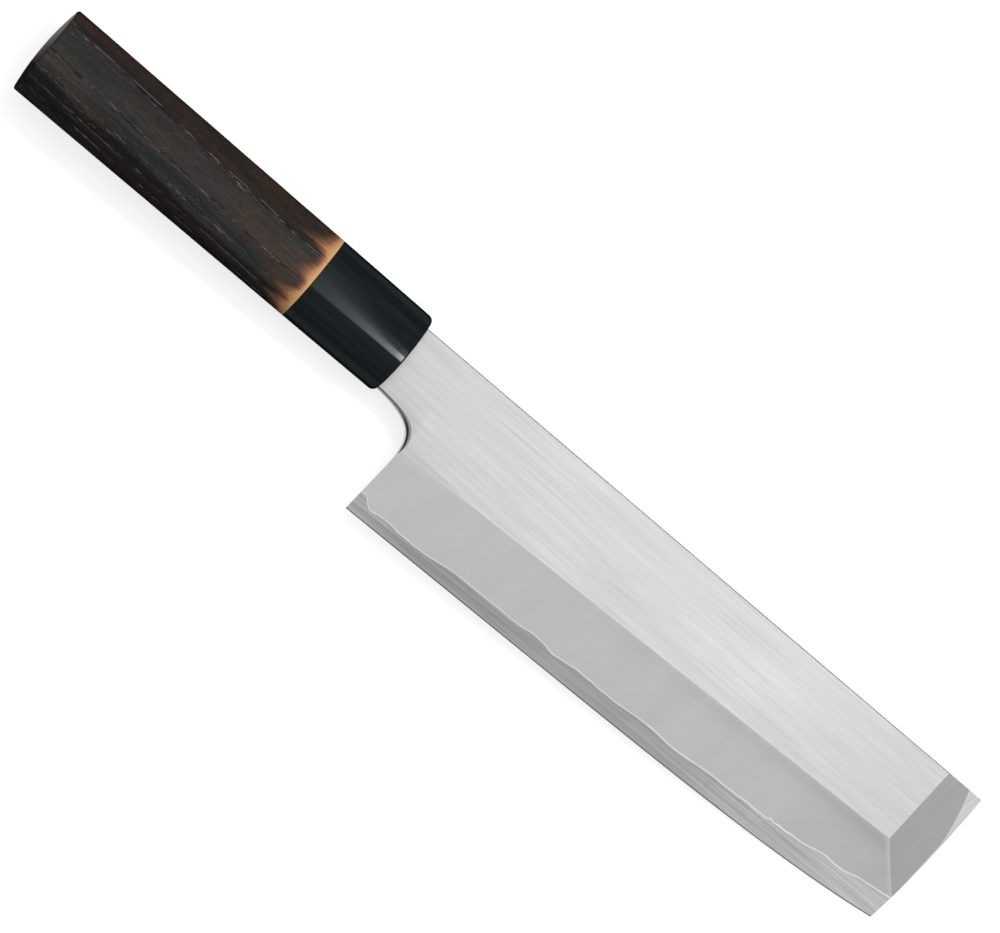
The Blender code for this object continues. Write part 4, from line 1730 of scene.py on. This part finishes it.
def scatter(*cells: Numbers) -> Numbers:
    """Gives a fixed pseudo-random number for each cell of a lattice.

    Args:
        cells: The cells' whole numbers, one array for each axis.

    Returns:
        Numbers from 0 to 1, the same on each run.
    """
    primes = (0x9E3779B1, 0x85EBCA77, 0xC2B2AE3D, 0x27D4EB2F)
    mixed = np.zeros(np.broadcast(*cells).shape, np.uint64)
    for cell, prime in zip(cells, primes):
        mixed ^= (cell.astype(np.int64).astype(np.uint64) * np.uint64(prime)) & np.uint64(0xFFFFFFFF)
        mixed = ((mixed ^ (mixed >> np.uint64(15))) * np.uint64(0x2C1B3C6D)) & np.uint64(0xFFFFFFFF)
        mixed ^= mixed >> np.uint64(12)
    return mixed.astype(float) / 0xFFFFFFFF


def drift(seed: int, *places: Numbers) -> Numbers:
    """Gives smooth pseudo-random numbers that wander over about one unit of each place.

    Args:
        seed: Picks one of many patterns.
        places: The places, one array for each axis.

    Returns:
        Numbers from 0 to 1.
    """
    cells = [np.floor(place) for place in places]
    shares = [(place - cell) ** 2 * (3 - 2 * (place - cell)) for place, cell in zip(places, cells)]
    total = np.zeros_like(cells[0])
    for corner in itertools.product((0, 1), repeat=len(places)):
        weight = np.ones_like(total)
        for step, share in zip(corner, shares):
            weight = weight * (share if step else 1 - share)
        spots = [cell + step for cell, step in zip(cells, corner)]
        total = total + weight * scatter(np.full_like(total, seed), *spots)
    return total


def hump(away: Numbers, width: Numbers | float) -> Numbers:
    """Gives 1 in the middle of a groove and 0 outside its width."""
    return np.clip(1 - (away / width) ** 2, 0, 1)


@dataclass
class OpenPores:
    """The vessels that brushing lays open: long grooves along the growth rings, short ones between."""

    grain: Grain
    groove: float = 0.15 * MM
    dust_glint: float = 0.11 * MM
    dust_glint_offset: float = 0.22 * MM
    sway: float = 0.2 * MM
    sway_length: float = 19 * MM
    jitter: float = 0.08 * MM
    jitter_length: float = 4 * MM
    jitter_width: float = 0.7 * MM
    run_length: float = 5 * MM
    lit_length: float = 3.5 * MM
    closed_share: float = 0.40
    unlit_share: float = 0.50

    # The lattice that the small vessels lie in.
    vessel_pitch: float = 0.36 * MM
    vessel_radius: float = 0.10 * MM
    vessel_length: float = 4.5 * MM
    vessel_jitter: float = 0.3
    vessel_phases: float = 7
    early_width: float = 1.0 * MM
    early_share: float = 0.5
    late_share: float = 0.06
    chalky_share: float = 0.45
    sooty_depth: float = 0.7
    chalky_depth: float = 0.3
    chalky_dust: float = 0.55

    # How sharply runs, lit walls and vessels end.
    run_edge: float = 8
    lit_edge: float = 6
    end_edge: float = 6

    # The least width of a groove or a vessel as a share of its size, and how much more there can be.
    groove_widths: Place = (0.55, 0.9)
    vessel_widths: Place = (0.7, 0.6)

    def along_rings(self, x: Numbers, depth: Numbers, side: Numbers) -> tuple[Numbers, Numbers]:
        """Opens the rows of large vessels that start each growth ring.

        Args:
            x: Each point's place along the handle.
            depth: Its depth across the rings.
            side: Its place across the handle within a ring.

        Returns:
            How deep each point lies in a groove, and how much dust and painted highlight lie on it, both from
            0 to 1.
        """
        dark, dusty = np.zeros_like(x), np.zeros_like(x)
        for number, line in enumerate(self.grain.ring_lines):
            wander = self.sway * (2 * drift(number, x / self.sway_length) - 1)
            spots = x / self.jitter_length, side / self.jitter_width
            wander += self.jitter * (2 * drift(number + 20, *spots) - 1)
            off = depth - line * MM - wander
            narrow, more = self.groove_widths
            width = self.groove * (narrow + more * drift(number + 40, x / self.run_length))
            run = np.clip((drift(number + 60, x / self.run_length) - self.closed_share) * self.run_edge, 0, 1)
            dark = np.maximum(dark, hump(off, width) * run)
            # Dust along one wall of each groove, partly a painted highlight on the wall that would catch the
            # light.
            wall = self.dust_glint_offset * (1 if number % 2 else -1)
            lit = np.clip((drift(number + 80, x / self.lit_length) - self.unlit_share) * self.lit_edge, 0, 1)
            dusty = np.maximum(dusty, hump(off - wall, self.dust_glint) * lit)
        return dark, dusty

    def between_rings(self, x: Numbers, depth: Numbers, side: Numbers) -> tuple[Numbers, Numbers]:
        """Opens the small vessels, which are many just below a ring's start and few elsewhere.

        Args:
            x: Each point's place along the handle.
            depth: Its depth across the rings.
            side: Its place across the handle within a ring.

        Returns:
            How deep each point lies in a groove and how dusty it is, both from 0 to 1.
        """
        i, j = np.floor(depth / self.vessel_pitch), np.floor(side / self.vessel_pitch)
        run = x / self.vessel_length + self.vessel_phases * scatter(i, j)
        k = np.floor(run)
        centre_i = (i + 0.5 + self.vessel_jitter * (scatter(i, j, k + 91) - 0.5)) * self.vessel_pitch
        centre_j = (j + 0.5 + self.vessel_jitter * (scatter(j, i, k + 57) - 0.5)) * self.vessel_pitch
        away = np.hypot(depth - centre_i, side - centre_j)
        below = np.array(self.grain.ring_lines)[None, :] * MM - centre_i[:, None]
        early = np.any((below > 0) & (below < self.early_width), axis=1)
        present = scatter(i, j, k) < np.where(early, self.early_share, self.late_share)
        ends = np.clip(np.minimum(run - k, k + 1 - run) * self.end_edge, 0, 1)
        thin, more = self.vessel_widths
        size = self.vessel_radius * (thin + more * scatter(k, i, j))
        opened = hump(away, size) * ends * present
        chalky = scatter(j, k, i) < self.chalky_share
        deep = opened * np.where(chalky, self.chalky_depth, self.sooty_depth)
        return deep, opened * np.where(chalky, self.chalky_dust, 0.0)

    def open_at(self, points: Numbers) -> tuple[Numbers, Numbers]:
        """Finds how far each point lies in an open pore.

        Args:
            points: Points of the surface in the knife's frame, one row each.

        Returns:
            How deep each point lies in a pore, and how much dust and painted highlight lie on it, both from 0
            to 1.
        """
        x, y, z = points.T
        depth = points @ np.array(self.grain.axis()) - self.grain.shift()
        side = z - self.grain.tilt * y
        large, small = self.along_rings(x, depth, side), self.between_rings(x, depth, side)
        return np.maximum(large[0], small[0]), np.maximum(large[1], small[1])


@dataclass
class Handle:
    """The charred chestnut grip."""

    section: ChestnutSection
    length: float = 94.0 * MM
    joint_x: float = -32.5 * MM
    joint_height: float = 25.8 * MM
    butt_height: float = 27.2 * MM
    joint_thickness: float = 21.2 * MM
    butt_thickness: float = 22.4 * MM
    butt_lift: float = 0.40 * MM
    joint_gap: float = 0.05 * MM
    butt_rounding: float = 0.8 * MM
    butt_bow: float = 0.12 * MM
    butt_dome: float = 0.95 * MM
    pore_depth: float = 0.16 * MM
    brush_depth: float = 0.035 * MM
    brush_pitch: float = 0.5 * MM
    brush_length: float = 9 * MM
    points_round: int = 640
    body_rows: int = 136
    rounding_rows: int = 6
    crown_rows: int = 10
    crease: float = 40.0

    @property
    def butt_x(self) -> float:
        """The place of the butt's rim."""
        return self.joint_x - self.length

    def ring(self, x: float, inset: float) -> Numbers:
        """Draws one smooth ring of the handle.

        Args:
            x: The ring's place.
            inset: How far it is drawn in.

        Returns:
            The ring's points, one row each.
        """
        share = (self.joint_x - x) / self.length
        height = blend(self.joint_height, self.butt_height, share)
        thickness = blend(self.joint_thickness, self.butt_thickness, share)
        outline = self.section.outline(height, thickness, inset, self.points_round)
        y = outline[:, 0] + self.butt_lift * x / self.butt_x
        return np.column_stack([np.full(len(outline), x), y, outline[:, 1]])

    def bow(self, ring: Numbers, x: float) -> None:
        """Draws a ring at x forward at its sides, ever more so from where the butt's rounding starts."""
        share = max(1 - (x - self.butt_x) / self.butt_rounding, 0)
        ring[:, 0] += self.butt_bow * share * (2 * ring[:, 1] / self.butt_height) ** 2

    def brushed(self, ring: Numbers, wood_pores: OpenPores) -> tuple[Numbers, Numbers, Numbers]:
        """Sinks the open pores and brushed fibres into a ring.

        Args:
            ring: The smooth ring.
            wood_pores: The wood's pores.

        Returns:
            The ring with its relief, each point's pore depth, and the dust and painted highlight on its pore.
        """
        pores, dusty = wood_pores.open_at(ring)
        run = np.roll(ring, -1, axis=0) - np.roll(ring, 1, axis=0)
        normal = np.column_stack([np.zeros(len(ring)), -run[:, 2], run[:, 1]])
        normal /= np.linalg.norm(normal, axis=1)[:, None]
        towards = np.sum(normal * (ring - ring.mean(axis=0)), axis=1)
        normal *= -np.sign(towards)[:, None]
        depth = ring @ np.array(wood_pores.grain.axis()) / self.brush_pitch
        side = (ring[:, 2] - wood_pores.grain.tilt * ring[:, 1]) / self.brush_pitch
        brush = scatter(np.floor(depth), np.floor(side), np.floor(ring[:, 0] / self.brush_length))
        sunk = self.pore_depth * pores + self.brush_depth * brush * (1 - pores)
        return ring + normal * sunk[:, None], pores, dusty

    def build(self, frame: KnifeFrame) -> None:
        """Builds the handle.

        Args:
            frame: Where the knife lies.
        """
        grain = Grain()
        wood_pores = OpenPores(grain)
        finishes = [CharredChestnut(grain, self.joint_x).build(), EndGrain(grain).build()]
        start = self.joint_x - self.joint_gap
        places = [(x, 0.0) for x in spread(start, self.butt_x + self.butt_rounding, self.body_rows)]
        for inset, out in rounding(self.butt_rounding, self.rounding_rows, first=1):
            places.append((self.butt_x + out, inset))
        rings, pores, dust_glint = [], [], []
        for x, inset in places:
            ring, pore, dusty = self.brushed(self.ring(x, inset), wood_pores)
            self.bow(ring, x)
            rings.append(ring)
            pores.append(pore)
            dust_glint.append(dusty)
        rim = self.ring(*places[-1])
        self.bow(rim, places[-1][0])
        rings += crown(rim, self.butt_x, -self.butt_dome, self.butt_lift, self.crown_rows)
        mesh = loft(
            "handle_chestnut",
            rings,
            finishes,
            end_point=(self.butt_x - self.butt_dome, self.butt_lift, 0),
            zone=lambda row, side: int(row >= len(places) - 1),
        )
        for name, values in (("pore", pores), ("dusty", dust_glint)):
            known = np.concatenate(values)
            spots = np.zeros(len(mesh.vertices))
            spots[: len(known)] = known
            mesh.attributes.new(name, "FLOAT", "POINT").data.foreach_set("value", spots)
        smooth(mesh, self.crease)
        frame.place("handle_chestnut", mesh, "charred_chestnut", "handle")


def dress_dowel(nodes: dict[str, bpy.types.Object]) -> None:
    """Gives the hidden dowel its wood.

    Args:
        nodes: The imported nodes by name.
    """
    dowel = nodes["dowel"]
    dowel.data.materials.clear()
    dowel.data.materials.append(TurnedMagnolia().build())
    log.info("dowel: dressed")


# The studio


@dataclass
class Studio:
    """A white table under soft light, seen from straight above."""

    floor_size: float = 14.0
    floor_tone: str = "#B2B2B2"
    floor_glow: float = 0.66
    horizon_light: float = 0.30
    zenith_light: float = 0.98
    softbox_place: Point = (0.08, 0.62, 1.60)
    softbox_size: Place = (1.3, 0.8)
    softbox_power: float = 4.7
    strip_place: Point = (0.26, 0.37, 0.74)
    strip_size: Place = (1.0, 0.062)
    strip_power: float = 3.2
    lens: float = 1200.0
    view_width: float = 266.6 * MM
    view_centre: Point = (38.15 * MM, -5.9 * MM, 0.0)
    view_turn: float = math.radians(40.4)
    view_lean: float = math.radians(1.6)
    subject_height: float = 8 * MM

    def floor(self) -> None:
        """Lays the white table top, which keeps the knife's shadow."""
        material, look = new_material("matt_white_table")
        kinds = ("Camera", "Glossy", "Transmission")
        seen, *others = (look.add("LightPath", out=f"Is {kind} Ray") for kind in kinds)
        for other in others:
            seen = look.add("Math", seen, other, **LARGER)
        glow = look.add("Emission", WHITE, look.add("Math", seen, self.floor_glow, **TIMES))
        diffuse = look.add("BsdfDiffuse", self.floor_tone)
        look.add("OutputMaterial", look.add("AddShader", diffuse, glow))
        half = self.floor_size / 2
        mesh = bpy.data.meshes.new("table_top")
        corners = [(-half, -half, 0), (half, -half, 0), (half, half, 0), (-half, half, 0)]
        mesh.from_pydata(corners, [], [range(4)])
        mesh.materials.append(material)
        table = bpy.data.objects.new("table_top", mesh)
        bpy.context.scene.collection.objects.link(table)

    def sky(self) -> None:
        """Lights the scene all round, brightest from above."""
        world = bpy.data.worlds.new("soft_studio")
        bpy.context.scene.world = world
        look = Shading(world)
        height = look.add("SeparateXYZ", look.add("TexCoord", out="Generated"), out="Z")
        strength = look.add("MapRange", height, 0.0, 1.0, self.horizon_light, self.zenith_light)
        look.add("OutputWorld", look.add("Background", WHITE, strength))

    def lamp(self, name: str, place: Point, size: Place, power: float, aim: Vector) -> None:
        """Hangs a rectangular soft lamp.

        Args:
            name: The lamp's name.
            place: Where it hangs.
            size: Its size along X and across.
            power: Its power in watts.
            aim: The point that it faces.
        """
        data = bpy.data.lights.new(name, "AREA")
        data.shape = "RECTANGLE"
        data.size, data.size_y = size
        data.energy = power
        lamp = bpy.data.objects.new(name, data)
        lamp.location = place
        lamp.rotation_euler = (aim - Vector(place)).to_track_quat("-Z", "Y").to_euler()
        bpy.context.scene.collection.objects.link(lamp)

    def camera(self, frame: KnifeFrame) -> None:
        """Sets the camera above the knife, turned as the photograph is.

        Args:
            frame: Where the knife lies.
        """
        data = bpy.data.cameras.new("camera")
        data.lens = self.lens
        camera = bpy.data.objects.new("camera", data)
        centre = frame.matrix() @ Vector(self.view_centre)
        centre.z = self.subject_height
        distance = self.view_width * self.lens / data.sensor_width
        lean = Matrix.Rotation(-self.view_lean, 4, "Y")
        camera.location = centre + lean @ Vector((0, 0, distance))
        camera.rotation_euler = (lean @ Matrix.Rotation(self.view_turn, 4, "Z")).to_euler()
        bpy.context.scene.collection.objects.link(camera)
        bpy.context.scene.camera = camera

    def build(self, frame: KnifeFrame) -> None:
        """Sets up the table, the light and the camera.

        Args:
            frame: Where the knife lies.
        """
        self.floor()
        self.sky()
        aim = frame.origin
        under_strip = Vector((self.strip_place[0], aim.y, aim.z))
        self.lamp("softbox", self.softbox_place, self.softbox_size, self.softbox_power, aim)
        self.lamp("strip_light", self.strip_place, self.strip_size, self.strip_power, under_strip)
        self.camera(frame)
        bpy.context.scene.view_settings.view_transform = "Standard"
        log.info("studio: ready")


def main() -> None:
    """Builds the knife and its studio."""
    logging.basicConfig(level=logging.INFO, format="%(name)s %(message)s", stream=sys.stdout)
    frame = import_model()
    blade = LaminatedBlade()
    knife_frame = KnifeFrame.from_record(frame["record"], blade)
    log.info("pitch %.4f, origin %s", knife_frame.pitch, tuple(knife_frame.origin))
    section = ChestnutSection()
    blade.build(knife_frame)
    Ferrule(section).build(knife_frame, blade)
    Handle(section).build(knife_frame)
    dress_dowel(frame["nodes"])
    Studio().build(knife_frame)


if __name__ == "__main__":
    main()
